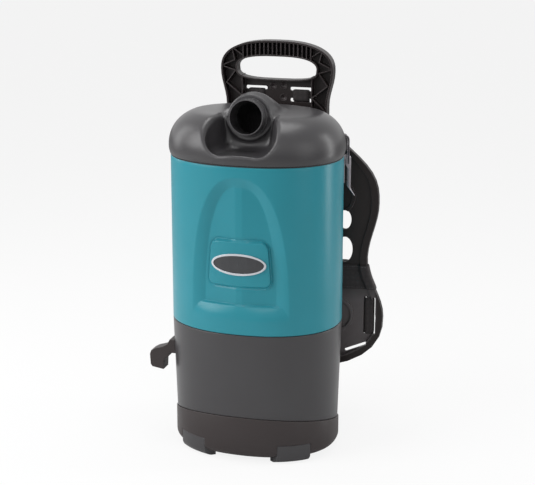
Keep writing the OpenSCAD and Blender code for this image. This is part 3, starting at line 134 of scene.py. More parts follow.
def moulded(name, colour, cloud, wear_and_highlight, roughness, grain_mm=0.9, grain=0.05, gloss=0.5,
            cloud_mm=60, wear_and_highlight_share=0.35, painted_lobe_light=None):
    """Plastic with clouds of a second colour, a fine tool grain and edges that are rubbed paler,
    their pale tone also a painted highlight.

    The last argument is a colour and two heights: between the upper and the lower the surface turns
    to it, a painted lighter tone for light thrown up from the floor.
    """
    material, tree, place = new_material(name)
    clouds = add(tree, "ShaderNodeTexNoise", {"Scale": 1000 / cloud_mm, "Detail": 3.0,
                                              "Vector": place}).outputs["Fac"]
    base = add(tree, "ShaderNodeMix", {"data_type": "RGBA", 0: clouds, 6: linear(colour),
                                       7: linear(cloud)}).outputs[2]
    if painted_lobe_light:
        # painted light from below: the lower lobes turn to the lighter colour
        base = add(tree, "ShaderNodeMix", {
            "data_type": "RGBA", 0: lobe_light_share(tree, place, *painted_lobe_light[1:]), 6: base,
            7: linear(painted_lobe_light[0])}).outputs[2]
    soft = add(tree, "ShaderNodeBevel", {"samples": 4, "Radius": 1.2 * MM}).outputs["Normal"]
    true = add(tree, "ShaderNodeNewGeometry").outputs["Normal"]
    same = add(tree, "ShaderNodeVectorMath", {"operation": "DOT_PRODUCT", 0: soft, 1: true})
    # paler edges: partly rubbed by use, partly a painted highlight where a rounded edge catches the
    # light
    edge = add(tree, "ShaderNodeMapRange", {"Value": same.outputs["Value"], "From Min": 0.995,
                                            "From Max": 0.75, "To Min": 0.0, "To Max": wear_and_highlight_share})
    painted = add(tree, "ShaderNodeMix", {"data_type": "RGBA", 0: edge.outputs["Result"],
                                          6: base, 7: linear(wear_and_highlight)})
    rough = add(tree, "ShaderNodeMapRange", {"Value": clouds, "To Min": roughness - 0.04,
                                             "To Max": roughness + 0.05})
    spark = add(tree, "ShaderNodeTexNoise", {"Scale": 1000 / grain_mm, "Detail": 2.0,
                                             "Vector": place})
    bump = add(tree, "ShaderNodeBump", {"Strength": grain, "Distance": 0.2 * MM,
                                        "Height": spark.outputs["Fac"], "Normal": soft})
    shader = add(tree, "ShaderNodeBsdfPrincipled", {
        "IOR": 1.5, "Specular IOR Level": gloss, "Base Color": painted.outputs[2],
        "Roughness": rough.outputs["Result"], "Normal": bump.outputs["Normal"]})
    add(tree, "ShaderNodeOutputMaterial", {"Surface": shader.outputs["BSDF"]})
    return material


# glossy dyed ABS of the dust tank
teal_abs = moulded("teal_moulded_abs", "#288A9A", "#258491", "#6FB4C2", 0.3, grain=0.03,
                   gloss=0.34)
# the same ABS in charcoal, on the lid and the motor housing: a satin sheen
charcoal_abs = moulded("charcoal_moulded_abs", "#3A393B", "#353335", "#7E7C80", 0.33, grain=0.04)
# slightly warmer and darker, for the band and floor of the base
umber_abs = moulded("umber_moulded_abs", "#332C2C", "#2E2828", "#77706F", 0.42, gloss=0.35)
# tough black polypropylene of the wearable frame: waxy, with pale ribs, partly rubbed by use and
# partly a painted highlight
black_pp = moulded("black_moulded_polypropylene", "#221A1A", "#191313", "#7B7275", 0.4,
                   grain_mm=1.4, grain=0.09, gloss=0.36, wear_and_highlight_share=0.5)
# painted light: the plate's lower lobes are painted a lighter grey, as if lit from the floor below,
# and only their raised rim stays black
painted_lobe_light_pp = moulded("black_polypropylene_painted_lobe_light", "#1A1211", "#130C0B", "#7B7275", 0.4,
                     grain_mm=1.4, grain=0.09, gloss=0.3, wear_and_highlight_share=0.5,
                     painted_lobe_light=("#575253", 0.25, 0.21))
# acetal of the buckle and its button, and the filter's ring
black_acetal = moulded("black_acetal", "#26242A", "#1F1E22", "#6C6A70", 0.3)
grey_abs = moulded("grey_switch_abs", "#6E6E70", "#666668", "#A5A5A8", 0.38)
# bare dark field inside the badge's rim
dark_field = moulded("dark_badge_field", "#38393C", "#303134", "#6B6C70", 0.24, cloud_mm=15)
print("plastics:", [m.name for m in bpy.data.materials if "abs" in m.name or "poly" in m.name])

# %% [markdown]
# ## Metals
#
# The levers are zinc-plated spring steel, their bails oiled spring wire, the fan is cast
# aluminium and the windings are enamelled copper. A metal has no colour of its own under the
# reflection: its base colour is the tint of the reflection. Brushing stretches the highlight, so
# the noise is long in one direction.

# %% Metals
def metal(name, colour, dull, roughness, along=(1, 1, 1), streak_mm=1.5, depth=0.15):
    """Bare or plated metal with brushed streaks, stretched by the scale of each axis."""
    material, tree, place = new_material(name)
    stretch = add(tree, "ShaderNodeMapping", {"Scale": along, "Vector": place})
    streaks = add(tree, "ShaderNodeTexNoise", {
        "Scale": 1000 / streak_mm, "Detail": 4.0, "Vector": stretch.outputs["Vector"],
    }).outputs["Fac"]
    tint = add(tree, "ShaderNodeMix", {"data_type": "RGBA", 0: streaks, 6: linear(dull),
                                       7: linear(colour)})
    rough = add(tree, "ShaderNodeMapRange", {"Value": streaks, "To Min": roughness - 0.06,
                                             "To Max": roughness + 0.1})
    bevel = add(tree, "ShaderNodeBevel", {"samples": 4, "Radius": 0.4 * MM})
    bump = add(tree, "ShaderNodeBump", {"Strength": depth, "Distance": 0.1 * MM,
                                        "Height": streaks, "Normal": bevel.outputs["Normal"]})
    shader = add(tree, "ShaderNodeBsdfPrincipled", {
        "Metallic": 1.0, "Base Color": tint.outputs[2], "Roughness": rough.outputs["Result"],
        "Normal": bump.outputs["Normal"]})
    add(tree, "ShaderNodeOutputMaterial", {"Surface": shader.outputs["BSDF"]})
    return material


# zinc plate over pressed spring steel: grey and a little milky
zinc_steel = metal("zinc_plated_steel", "#9C999D", "#77747A", 0.3, (1, 1, 0.12))
# the bails are oiled spring wire, darker than the plated levers
spring_wire = metal("oiled_spring_wire", "#6A676B", "#4C494D", 0.3, depth=0.05)
# the badge's rim is bright-plated plastic
bright_plate = metal("bright_plated_rim", "#D4D6DA", "#BFC2C8", 0.2, depth=0.05)
# cast fan, machined on its faces
cast_aluminium = metal("cast_aluminium", "#C2C4C6", "#9A9C9E", 0.42, streak_mm=3.0)
# varnished winding wire
winding_copper = metal("varnished_copper_wire", "#C9773F", "#9E5528", 0.34, (1, 1, 8), 0.9)
print("metals:", [m.name for m in (zinc_steel, spring_wire, bright_plate, cast_aluminium,
                                   winding_copper)])

# %% [markdown]
# ## Fabrics, rubber, foam and paper
#
# The harness is black nylon: a tight basket weave on the pads, and webbing with a rib every
# millimetre or so. A weave is two families of threads that take turns on top. Two wave patterns
# at right angles, multiplied, give those hills and hollows, and the same pattern paints a little
# shade into the hollows. Threads are about 0.5 mm, drawn here 1.3 to 1.6 mm wide so that they
# still show.

# %% Woven cloth
def woven(name, colour, hollow_shade_colour, thread_mm, roughness=0.85, depth=0.5, fuzz=0.25):
    """Cloth of crossing threads, thread_mm apart, with painted shade in the hollows between them.
    """
    material, tree, place = new_material(name)
    waves = [add(tree, "ShaderNodeTexWave", {
        "wave_type": "BANDS", "bands_direction": axis, "Scale": 1000 / thread_mm / 20,
        "Distortion": 0.4, "Detail": 1.0, "Vector": place}).outputs["Fac"] for axis in "XZ"]
    over = add(tree, "ShaderNodeMath", {"operation": "MULTIPLY", 0: waves[0],
                                        1: waves[1]}).outputs[0]
    # faded patches about 30 mm wide
    patches = add(tree, "ShaderNodeTexNoise", {"Scale": 35.0, "Detail": 3.0, "Vector": place})
    # painted shade: the hollows between the threads are darker; the patches add real fading
    shade_and_fading = add(tree, "ShaderNodeMath", {"operation": "MULTIPLY_ADD", 0: over, 1: 0.7,
                                         2: patches.outputs["Fac"]})
    tint = add(tree, "ShaderNodeMix", {"data_type": "RGBA", 0: shade_and_fading.outputs[0],
                                       6: linear(hollow_shade_colour), 7: linear(colour)})
    bump = add(tree, "ShaderNodeBump", {"Strength": depth, "Distance": 0.3 * MM, "Height": over})
    shader = add(tree, "ShaderNodeBsdfPrincipled", {
        "Base Color": tint.outputs[2], "Roughness": roughness, "Sheen Weight": fuzz,
        "Sheen Roughness": 0.5, "Normal": bump.outputs["Normal"]})
    add(tree, "ShaderNodeOutputMaterial", {"Surface": shader.outputs["BSDF"]})
    return material


pad_nylon = woven("black_basket_weave_nylon", "#2B292B", "#191719", 1.6)
strap_nylon = woven("black_ribbed_webbing", "#272122", "#131010", 1.3, 0.75, 0.7, 0.03)
filter_felt = woven("white_needled_filter_cloth", "#E6E6E2", "#CFCFCA", 2.2, 0.95, 0.4, 0.4)
thread = woven("waxed_nylon_thread", "#4A474A", "#2A282A", 0.6, 0.55, 0.3, 0.1)


# %% Rubber, foam and paper
def soft_mass(name, colour, dent_shade_colour, pore_mm, roughness, depth):
    """Foam, paper or rubber: pores or fibres dented into the surface, with painted shade in the
    dents.
    """
    material, tree, place = new_material(name)
    pores = add(tree, "ShaderNodeTexVoronoi", {"Scale": 1000 / pore_mm, "Vector": place})
    near = add(tree, "ShaderNodeMapRange", {"Value": pores.outputs["Distance"],
                                            "From Max": 0.5}).outputs["Result"]
    # painted shade: the dents of the pores and fibres are darker
    tint = add(tree, "ShaderNodeMix", {"data_type": "RGBA", 0: near, 6: linear(dent_shade_colour),
                                       7: linear(colour)})
    bump = add(tree, "ShaderNodeBump", {"Strength": depth, "Distance": 0.3 * MM, "Height": near})
    shader = add(tree, "ShaderNodeBsdfPrincipled", {
        "Base Color": tint.outputs[2], "Roughness": roughness, "Normal": bump.outputs["Normal"]})
    add(tree, "ShaderNodeOutputMaterial", {"Surface": shader.outputs["BSDF"]})
    return material


seal_rubber = soft_mass("black_epdm_rubber", "#1B1A1B", "#131213", 0.7, 0.6, 0.15)
open_foam = soft_mass("open_cell_filter_foam", "#4B4C50", "#222326", 1.8, 0.95, 0.8)
bag_paper = soft_mass("kraft_filter_paper", "#C9B78F", "#BBA77C", 2.5, 0.9, 0.25)
pleated_paper = soft_mass("pleated_glass_fibre_paper", "#DEDCD2", "#C8C6BA", 1.5, 0.9, 0.3)
print("soft finishes made:", pad_nylon.name, strap_nylon.name, bag_paper.name)

# %% [markdown]
# ## Finishes for the CAD nodes
#
# Every CAD node starts with a finish chosen by its material slot in the record. The nodes that
# stay visible keep it; the ones that a softer or rounder piece replaces pass it on.

# %% Slot to finish
finish_of_slot = {
    "teal_shell": teal_abs, "charcoal_shell": charcoal_abs, "dark_base": umber_abs,
    "black_frame": black_pp, "button_grey": grey_abs, "bright_steel": zinc_steel,
    "badge_field": dark_field, "fan_alloy": cast_aluminium, "copper": winding_copper,
    "seal_rubber": seal_rubber, "filter_foam": open_foam, "filter_paper": bag_paper,
    "filter_cloth": filter_felt, "webbing": strap_nylon, "pad_fabric": pad_nylon,
}
finish_of_node = {
    "badge_rim": bright_plate, "backplate": painted_lobe_light_pp, "hepa_filter": pleated_paper,
    "buckle_socket": black_acetal, "buckle_plug": black_acetal, "buckle_button": black_acetal,
}
slot_of_node = {p["node"]: p["material_slot"] for p in frame["record"]["subparts"]}
for name, node in frame["nodes"].items():
    node.data.materials.clear()
    node.data.materials.append(finish_of_node.get(name, finish_of_slot[slot_of_node[name]]))
print("slots used:", sorted(set(slot_of_node.values())))

# %% [markdown]
# ## Camera, floor and light
#
# The camera looks from the front right and a little above, through a long lens, so that the
# machine keeps its upright lines. A product like this is lit by large soft boxes: a key from the
# front left, a fill from the right, and two tall strips behind the shoulders that draw the bright
# edge lines on glossy plastic. The white surroundings come from the world as the camera and the
# reflections see it, while the diffuse light stays at a plain level.

# %% Camera
def placed(name, data):
    """A new object of the scene that shows the data."""
    thing = bpy.data.objects.new(name, data)
    scene.collection.objects.link(thing)
    return thing


def aimed(thing, place, aim):
    """Puts a camera or a lamp at a place, turned to face a point."""
    thing.location = place
    thing.rotation_euler = (Vector(aim) - Vector(place)).to_track_quat("-Z", "Y").to_euler()


camera = placed("studio_camera", bpy.data.cameras.new("studio_camera"))
camera.data.sensor_width, camera.data.lens = 36, 98.5
aimed(camera, (0.6402, -2.1315, 0.9273), (0.0155, 0.0045, 0.3310))
scene.camera = camera
print("camera height:", round(camera.location.z, 3), "m")

# %% Floor and surroundings
PLAIN_LEVEL, FLOOR_GLOW, FLOOR_REACH = 0.22, 0.86, 40000
scene.view_settings.view_transform = "Standard"
world = bpy.data.worlds.new("white_studio")
world.use_nodes = True
scene.world = world
air = world.node_tree
air.nodes.clear()
rays = add(air, "ShaderNodeLightPath").outputs
seen = rays["Is Camera Ray"]
for ray in ("Is Glossy Ray", "Is Transmission Ray"):
    seen = add(air, "ShaderNodeMath", {"operation": "MAXIMUM", 0: seen, 1: rays[ray]}).outputs[0]
level = add(air, "ShaderNodeMapRange", {"Value": seen, "To Min": PLAIN_LEVEL, "To Max": 1.0})
sky = add(air, "ShaderNodeBackground", {"Color": (1, 1, 1, 1),
                                        "Strength": level.outputs["Result"]})
add(air, "ShaderNodeOutputWorld", {"Surface": sky.outputs["Background"]})


def raw_mesh(name, points, faces):
    """A mesh object from points in mm."""
    mesh = bpy.data.meshes.new(name)
    mesh.from_pydata((np.asarray(points, float) * MM).tolist(), [],
                     faces if isinstance(faces, list) else faces.tolist())
    return placed(name, mesh)


studio_floor = raw_mesh("studio_floor", [(x * FLOOR_REACH, y * FLOOR_REACH, 0) for x, y in
                                         ((-1, -1), (1, -1), (1, 1), (-1, 1))], [(0, 1, 2, 3)])
paper, tree = new_material("white_backdrop_paper")[:2]
matt = add(tree, "ShaderNodeBsdfPrincipled", {"Base Color": linear("#F4F4F4"), "Roughness": 0.9})
white = add(tree, "ShaderNodeEmission", {"Color": (1, 1, 1, 1), "Strength": 1.0})
glow = add(tree, "ShaderNodeMath", {
    "operation": "MULTIPLY", 0: add(tree, "ShaderNodeLightPath").outputs["Is Camera Ray"],
    1: FLOOR_GLOW})
lit = add(tree, "ShaderNodeMixShader", {0: glow.outputs[0], 1: matt.outputs["BSDF"],
                                        2: white.outputs["Emission"]})
add(tree, "ShaderNodeOutputMaterial", {"Surface": lit.outputs["Shader"]})
studio_floor.data.materials.append(paper)
print("floor reaches", FLOOR_REACH * MM, "m each way")


# %% Soft boxes
def soft_box(name, place, aim, width, height, power):
    """A rectangular lamp that faces a point."""
    data = bpy.data.lights.new(name, "AREA")
    data.shape = "RECTANGLE"
    data.size, data.size_y, data.energy = width, height, power
    aimed(placed(name, data), place, aim)


soft_box("key_front_left", (-1.7, -1.3, 1.3), (0, 0, 0.33), 1.5, 1.6, 36)
soft_box("fill_front_right", (2.0, -1.2, 0.9), (0, 0, 0.33), 1.0, 1.6, 5.5)
soft_box("glint_front", (0.15, -2.0, 1.3), (0, 0, 0.33), 0.6, 0.22, 3.2)
soft_box("top_sheet", (0, 0.0, 2.1), (0, 0, 0.5), 1.1, 1.0, 16)
soft_box("strip_left", (-1.2, 0.1, 0.8), (-0.1, 0, 0.45), 0.3, 1.0, 3)
soft_box("strip_right", (1.4, 0.5, 0.6), (0.1, 0, 0.33), 0.3, 1.6, 8)

# %% [markdown]
# ## Building a smooth moulding
#
# The CAD body of the tank is a many-sided prism. To the eye the real one is one smooth oval, so
# each large moulding is rebuilt here on the same sizes: rings of points, stacked and joined by
# quads. The rings are superellipses (a superellipse is an ellipse whose exponent is not 2), and
# an inset moves a ring inwards, for tapers, wall thickness and rounded edges.

# %% Pieces from points
BODY_A, BODY_B, SQUARE = 135.0, 104.7, 2.2
TANK_LOW, TANK_TOP, WALL = 210.5, 473.0, 3.5


def oval_ring(angles, inset):
    """x and y of the canister's oval at polar angles, moved inwards by inset, in mm."""
    a, b = BODY_A - inset, BODY_B - inset
    reach = (np.abs(np.cos(angles) / a) ** SQUARE + np.abs(np.sin(angles) / b) ** SQUARE)
    reach = reach ** (-1 / SQUARE)
    return np.stack([reach * np.cos(angles), reach * np.sin(angles)], -1)


def at_height(flat, z):
    """A ring of x and y as points at one height, or at a height each."""
    return np.column_stack([flat, np.broadcast_to(z, len(flat))])


def new_piece(name, points, faces, finish, body="root", sharp=35):
    """A shaded mesh from points in mm, riding on a body. Edges over sharp degrees stay crisp."""
    thing = raw_mesh(name, points, faces)
    thing.data.materials.append(finish)
    shade(thing, sharp)
    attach(thing, body)
    return thing


def shade(thing, sharp=35):
    """Smooth shading, with edges steeper than sharp degrees kept crisp."""
    thing.data.polygons.foreach_set("use_smooth", [True] * len(thing.data.polygons))
    thing.data.set_sharp_from_angle(angle=math.radians(sharp))
    thing.data.update()


def ring_quads(rows, columns, wrap=False):
    """Quads between stacked closed rings; wrap joins the last ring to the first."""
    below = np.arange(rows * columns).reshape(rows, columns)
    above = np.roll(below, -1, 0)
    if not wrap:
        below, above = below[:-1], above[:-1]
    return np.stack([below, np.roll(below, -1, 1), np.roll(above, -1, 1), above], -1).reshape(-1, 4)


def stand_in(thing, *nodes):
    """The piece is shown in place of these CAD nodes, which are hidden."""
    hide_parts(*nodes)
    return thing


print("oval half-sizes:", oval_ring(np.array([0, np.pi / 2]), 0).round(1).tolist())

# %% [markdown]
# ## The teal tank
#
# The front of the tank carries an arched recess: a sloping band runs round a floor of three flat
# facets, 7 to 9 mm deeper, and at the foot the band becomes a full, bulging sill with a low step
# on top. It is made by pushing the grid inwards by a depth map. The depth grows with the distance
# from the arch's outline; that distance is the arch's superellipse measure divided by its own
# slope. Soft ramps round the two creases, as the draft and the polishing of the mould do.

# %% Depth of the recess
ARCH_W, ARCH_FOOT, ARCH_TOP, SLOPE, DEPTH = 77.5, 231.0, 456.0, 15.5, 7.0
LEDGE, STEP_SHARE, STEP_TALL = 258.0, 0.3, 2.4
FACET_HALF, FACET_TURN = 5.5, math.tan(math.radians(10.5))
# the badge's raised pad, the lean of its sides, and the groove round it
BADGE_Z, BADGE_HALF_W, BADGE_HALF_H, BADGE_CORNER, BADGE_LEAN, BADGE_DEPTH = (
    322.0, 50.5, 35, 11, 0.08, 5.0)
GROOVE_DEEP, GROOVE_OUT, GROOVE_W = 1.3, 2.9, 1.4


def soft_ramp(t, ease):
    """0 below 0, 1 above 1, straight between, with both corners rounded by ease."""
    low = np.clip(t + ease, 0, 2 * ease) ** 2 / (4 * ease)
    straight = low + np.clip(t - ease, 0, None)
    over = np.clip(t - (1 - ease), 0, 2 * ease) ** 2 / (4 * ease)
    return straight - over - np.clip(t - (1 + ease), 0, None)


def arch_distance(x, z):
    """Distance inside the arch's outline, in mm, from its superellipse measure."""
    across = np.abs(x) / ARCH_W
    up = np.clip(z - ARCH_FOOT, 0, None) / (ARCH_TOP - ARCH_FOOT)
    measure = np.maximum((across ** 2.5 + up ** 2.5) ** 0.4, 1e-6)
    slope = np.hypot((across / measure) ** 1.5 / ARCH_W,
                     (up / measure) ** 1.5 / (ARCH_TOP - ARCH_FOOT))
    return (1 - measure) / np.maximum(slope, 1e-6)


def rounded_box(x, z, half_w, half_h, corner):
    """Signed distance to a rounded rectangle, negative inside."""
    qx, qz = np.abs(x) - half_w + corner, np.abs(z) - half_h + corner
    return (np.hypot(np.maximum(qx, 0), np.maximum(qz, 0))
            + np.minimum(np.maximum(qx, qz), 0) - corner)


def recess(x, y, z):
    """Depth under the oval at a point of the tank's front."""
    side = soft_ramp(arch_distance(x, z) / SLOPE, 0.06)
    # the sill bulges up to a low, crisp step under the floor
    bulge = np.clip((z - ARCH_FOOT) / (LEDGE - ARCH_FOOT), 0, 1) ** 2.1
    step = soft_ramp((z - LEDGE + STEP_TALL) / STEP_TALL, 0.1)
    sill = (1 - STEP_SHARE) * bulge + STEP_SHARE * step
    # two facets fall away from a narrow middle one; the shell's own curve is taken off again
    beyond = np.abs(x) - FACET_HALF
    fall = FACET_TURN * (beyond + np.sqrt(beyond ** 2 + 2.0)) / 2
    curve = BODY_B * (1 - (1 - np.clip(np.abs(x) / BODY_A, 0, 1) ** SQUARE) ** (1 / SQUARE))
    depth = (DEPTH + np.clip(fall - curve, -3, 4)) * np.minimum(side, sill)
    # raised pad for the badge, wider at its foot, in a groove
    up = z - BADGE_Z
    edge = rounded_box(x, up, BADGE_HALF_W - BADGE_LEAN * up, BADGE_HALF_H, BADGE_CORNER)
    depth = depth + (BADGE_DEPTH - depth) * soft_ramp((1.2 - edge) / 2.4, 0.2)
    depth = depth + GROOVE_DEEP * np.exp(-((edge - GROOVE_OUT) / GROOVE_W) ** 2)
    return np.where((y < 0) & (z > ARCH_FOOT - 4), depth, 0)


print("recess depth at the crown band and the floor:",
      recess(np.array([0.0, 0.0]), -100, np.array([448.0, 400.0])).round(2))

# %% Tank shell
# fine columns across the front, where the recess lies
tank_angles = np.radians(np.concatenate([np.arange(-136, -44, 0.5), np.arange(-44, 224, 2.5)]))
# the lowest millimetre is set back, so that a dark line parts the tank from the housing
levels = [(TANK_LOW, 2.4), (TANK_LOW + 0.9, 2.3), (TANK_LOW + 1.0, 0.7), (TANK_LOW + 1.3, 0.2),
          (TANK_LOW + 1.9, 0)]
levels += [(z, 0) for z in (215, 220, 225, *np.arange(227, 252.5, 1.5), *np.arange(253, 261, 0.5),
                            *np.arange(261.5, 462, 1.5), 466)]
# round the rim and down the inside, past the ledge that carries the filter's ring
levels += [(TANK_TOP - 1.2, 0), (TANK_TOP - 0.5, 0.2), (TANK_TOP - 0.1, 0.7), (TANK_TOP, 1.2),
           (TANK_TOP, WALL), (464, WALL), (464, 11.5), (460, 11.5), (460, WALL)]
levels += [(z, WALL) for z in (*np.arange(455, 214, -6), TANK_LOW)]
tank_rows = []
for z, inset in levels:
    flat = oval_ring(tank_angles, inset)
    depth = recess(flat[:, 0], flat[:, 1], np.full(len(flat), float(z)))
    tank_rows.append(at_height(oval_ring(tank_angles, inset + depth), z))
dust_tank = new_piece("dust_tank", np.concatenate(tank_rows),
                      ring_quads(len(levels), len(tank_angles), wrap=True), teal_abs, sharp=40)
stand_in(dust_tank, "tank_shell")
print("tank rows and columns:", len(levels), len(tank_angles))

# %% [markdown]
# ## Motor housing and base band
#
# Below the tank the motor housing narrows a little towards the floor. A darker band wraps its
# foot; the band stands 1.5 mm proud and its top edge slopes down to the back. Openings are cut
# with the Boolean modifier, which is applied at once so that nothing is left to evaluate later.

# %% Cutting one mesh with another
def block(low, high, turn=0.0, at=(0, 0, 0)):
    """Points and faces of a box between two corners in mm, turned about +Z, then moved."""
    corners = [(x, y, z) for x in (low[0], high[0]) for y in (low[1], high[1])
               for z in (low[2], high[2])]
    c, s = math.cos(turn), math.sin(turn)
    points = [(x * c - y * s + at[0], x * s + y * c + at[1], z + at[2]) for x, y, z in corners]
    return points, [(0, 1, 3, 2), (4, 6, 7, 5), (0, 4, 5, 1), (2, 3, 7, 6), (0, 2, 6, 4),
                    (1, 5, 7, 3)]


def joined(solids):
    """Several (points, faces) as one."""
    points, faces = [], []
    for more, sides in solids:
        faces += [tuple(i + len(points) for i in side) for side in sides]
        points += list(more)
    return points, faces


def boolean(thing, cutters, operation="DIFFERENCE"):
    """Cuts or intersects a piece with (points, faces) solids given in mm."""
    cutters = list(cutters)
    cutter = raw_mesh("cutter", *joined(cutters))
    change = thing.modifiers.new("cut", "BOOLEAN")
    change.object, change.operation, change.solver = cutter, operation, "EXACT"
    change.use_self = len(cutters) > 1
    apply_all(thing)
    # the cutter's object goes with its mesh
    bpy.data.meshes.remove(cutter.data)
    shade(thing)


def apply_all(thing):
    """Turns the modifiers of a piece into plain mesh."""
    shape = thing.evaluated_get(bpy.context.evaluated_depsgraph_get())
    mesh, old = bpy.data.meshes.new_from_object(shape), thing.data
    thing.modifiers.clear()
    thing.data = mesh
    bpy.data.meshes.remove(old)


# %% Rings of the lower half
BAND_Z, BAND_SLOPE, TAPER, BASE_LOW = 51.7, math.tan(math.radians(12.8)), 6.5, 8.0
BAND_PROUD, BAND_MEAN_Z = 1.5, 60
lower_angles = np.radians(np.arange(0, 360, 1.5))


def taper(z):
    """How far the housing's wall stands inside the tank's at a height."""
    return TAPER * (TANK_LOW - z) / TANK_LOW


def band_edge(y):
    """Height of the band's sloping top edge."""
    return BAND_Z - BAND_SLOPE * y


def capped(rings):
    """Points and faces of a stack of rings, closed by a flat face at each end."""
    count = len(rings[0])
    faces = [tuple(q) for q in ring_quads(len(rings), count).tolist()]
    faces.append(tuple(range(count - 1, -1, -1)))
    faces.append(tuple(range((len(rings) - 1) * count, len(rings) * count)))
    return np.concatenate(rings), faces


# %% Motor housing
def housing_ring(share, inset, lift=0.0):
    """Ring at a share of the way from the band's edge up to the tank."""
    flat = oval_ring(lower_angles, taper(BAND_MEAN_Z))
    z = (1 - share) * (band_edge(flat[:, 1]) + 0.3) + share * TANK_LOW + lift
    return at_height([oval_ring(np.array([a]), taper(h) + inset)[0]
                      for a, h in zip(lower_angles, z)], z)


# shares, insets and lifts: a rounded foot, the wall, a rounded rim and the inside again
steps = [(0, 1.0), (0, 0.2, 0.4), (0, 0, 1.0), *[(s, 0) for s in np.linspace(0.04, 0.98, 16)],
         (1, 0, -1.2), (1, 0.2, -0.5), (1, 0.7, -0.1), (1, 1.2), (1, WALL),
         *[(s, WALL) for s in np.linspace(0.95, 0, 8)]]
motor_shell = new_piece("motor_shell", np.concatenate([housing_ring(*s) for s in steps]),
                        ring_quads(len(steps), len(lower_angles), wrap=True), charcoal_abs)
# openings for the exhaust grille on the right and the switch on the left
GRILLE_TURN, GRILLE_AT = math.radians(44.43), (106.9, 66, 0)
SWITCH_TURN, SWITCH_AT = math.radians(180 - 37.57), (-115.0, 58, 165)
boolean(motor_shell, [block((-15, -16, 96), (30, 16, 178), GRILLE_TURN, GRILLE_AT)])
boolean(motor_shell, [block((-20, -11, -16), (20, 11, 16), SWITCH_TURN, SWITCH_AT)])
stand_in(motor_shell, "motor_housing")
print("housing faces:", len(motor_shell.data.polygons))

# %% [markdown]
# ## Base band and feet
#
# The base is a shallow pan that closes the housing from below. Its lower edge is rounded with a
# 12 mm radius. A foot stands in a notch at each corner; it has the form of the band itself, cut
# to an upright block, so band and foot share one outline with a thin dark gap between them.

# %% Base band
BAND_INSET, BAND_ROUND, NOTCH_GAP = taper(BAND_MEAN_Z) - BAND_PROUD, 12.0, 0.6
FOOT_W, FOOT_H, FOOT_IN, FOOT_OUT, FOOT_X, FOOT_Y = 47.0, 30.0, 20.0, 30, 82.0, 72.0
FOOT_TURN = math.radians(38)


def band_ring(inset, z):
    """Ring of the band at a height."""
    return at_height(oval_ring(lower_angles, BAND_INSET + inset), z)


def edge_ring(inset, below):
    """Ring of the band at a distance below its sloping top edge."""
    flat = oval_ring(lower_angles, BAND_INSET + inset)
    return at_height(flat, band_edge(flat[:, 1]) - below)


def band_foot(inset, low):
    """Rings of the band's rounded lower edge."""
    return [band_ring(inset + BAND_ROUND * (1 - math.sin(t)), low + BAND_ROUND * (1 - math.cos(t)))
            for t in np.radians(np.linspace(0, 90, 8))]


def foot_blocks(side_y, grown, low, top):
    """Upright boxes at the two corners on one side, grown all round."""
    for side_x in (-1, 1):
        near, far = sorted((-side_y * (FOOT_IN + grown), side_y * (FOOT_OUT + grown)))
        yield block((-FOOT_W / 2 - grown, near, low), (FOOT_W / 2 + grown, far, top),
                    side_x * side_y * FOOT_TURN, (side_x * FOOT_X, side_y * FOOT_Y, 0))


band_rings = [*band_foot(0, BASE_LOW), edge_ring(0, 0.9), edge_ring(0.25, 0.25),
              edge_ring(0.9, 0), edge_ring(7, 0), band_ring(7, 24), band_ring(12, BASE_LOW + 4)]
base_band = new_piece("base_band", *capped(band_rings), umber_abs)
for side in (-1, 1):
    boolean(base_band, foot_blocks(side, NOTCH_GAP, -5, FOOT_H + NOTCH_GAP))
# outlet slots in the floor of the pan
boolean(base_band, [block((x - 2, -45, 0), (x + 2, 45, 30)) for x in range(-50, 51, 10)])
stand_in(base_band, "base_cap")
print("base band rings:", len(band_rings))

# %% Feet
for node, side in (("feet_front", -1), ("feet_rear", 1)):
    rings = [band_ring(12.2, 0.2), *band_foot(0.2, 0)[1:], band_ring(0.2, FOOT_H + 20)]
    feet = new_piece("moulded_" + node, *capped(rings), charcoal_abs)
    boolean(feet, foot_blocks(side, 0, -1, FOOT_H), "INTERSECT")
    stand_in(feet, node)
print("band and feet faces:", len(base_band.data.polygons), len(feet.data.polygons))

# %% [markdown]
# ## The lid
#
# The lid is one soft moulding: a domed oval, a hood that swells out of it towards the hose inlet,
# and a bowl-shaped pocket in front. Forms that melt into one another are hard to build from
# patches, but easy as a distance field: each form gives every point of space its distance from
# the surface, and two fields are blended by a rounded minimum. The surface is then drawn where
# the blended field is zero. Blender brings OpenVDB, which does that last step.

# %% Field of the lid
LID_LOW, BELLY, LID_TOP, DECK_Z, INNER_TOP = 474.8, 487.0, 545.0, 541.5, 538
SWELL_A, SWELL_B, FLAT_A, FLAT_B = 138.0, 106.2, 70.0, 45.0
PORT_Y, PORT_Z, PORT_TILT, PORT_BORE, COLLAR_R = 59.0, 540.0, math.radians(9), 27.9, 33.8
POCKET_Z, POCKET_CORNER, HOOD_LOW, HOOD_BACK = 482, 26, 478, 62
# radii that round the deck's crease, the pocket's rim and walls, and the hood's root
DECK_ROUND, RIM_ROUND, BACK_ROUND, FLOOR_ROUND, HOOD_ROUND = 3.0, 9.5, 12, 14, 9.0
STEP = 1.2
low_corner = np.array([-142.0, -110.0, LID_LOW - 4])
counts = np.ceil((np.array([142, 110, 582]) - low_corner) / STEP).astype(int) + 1
X, Y, Z = np.meshgrid(*[low_corner[i] + STEP * np.arange(counts[i]) for i in range(3)],
                      indexing="ij", sparse=True)


def blend_in(a, b, round_mm):
    """Union of two fields with a fillet of about round_mm."""
    share = np.clip(0.5 + 0.5 * (b - a) / round_mm, 0, 1)
    return b + (a - b) * share - round_mm * share * (1 - share)


def blend_out(a, b, round_mm):
    """Field a with form b taken away, its rim rounded."""
    return -blend_in(-a, b, round_mm)


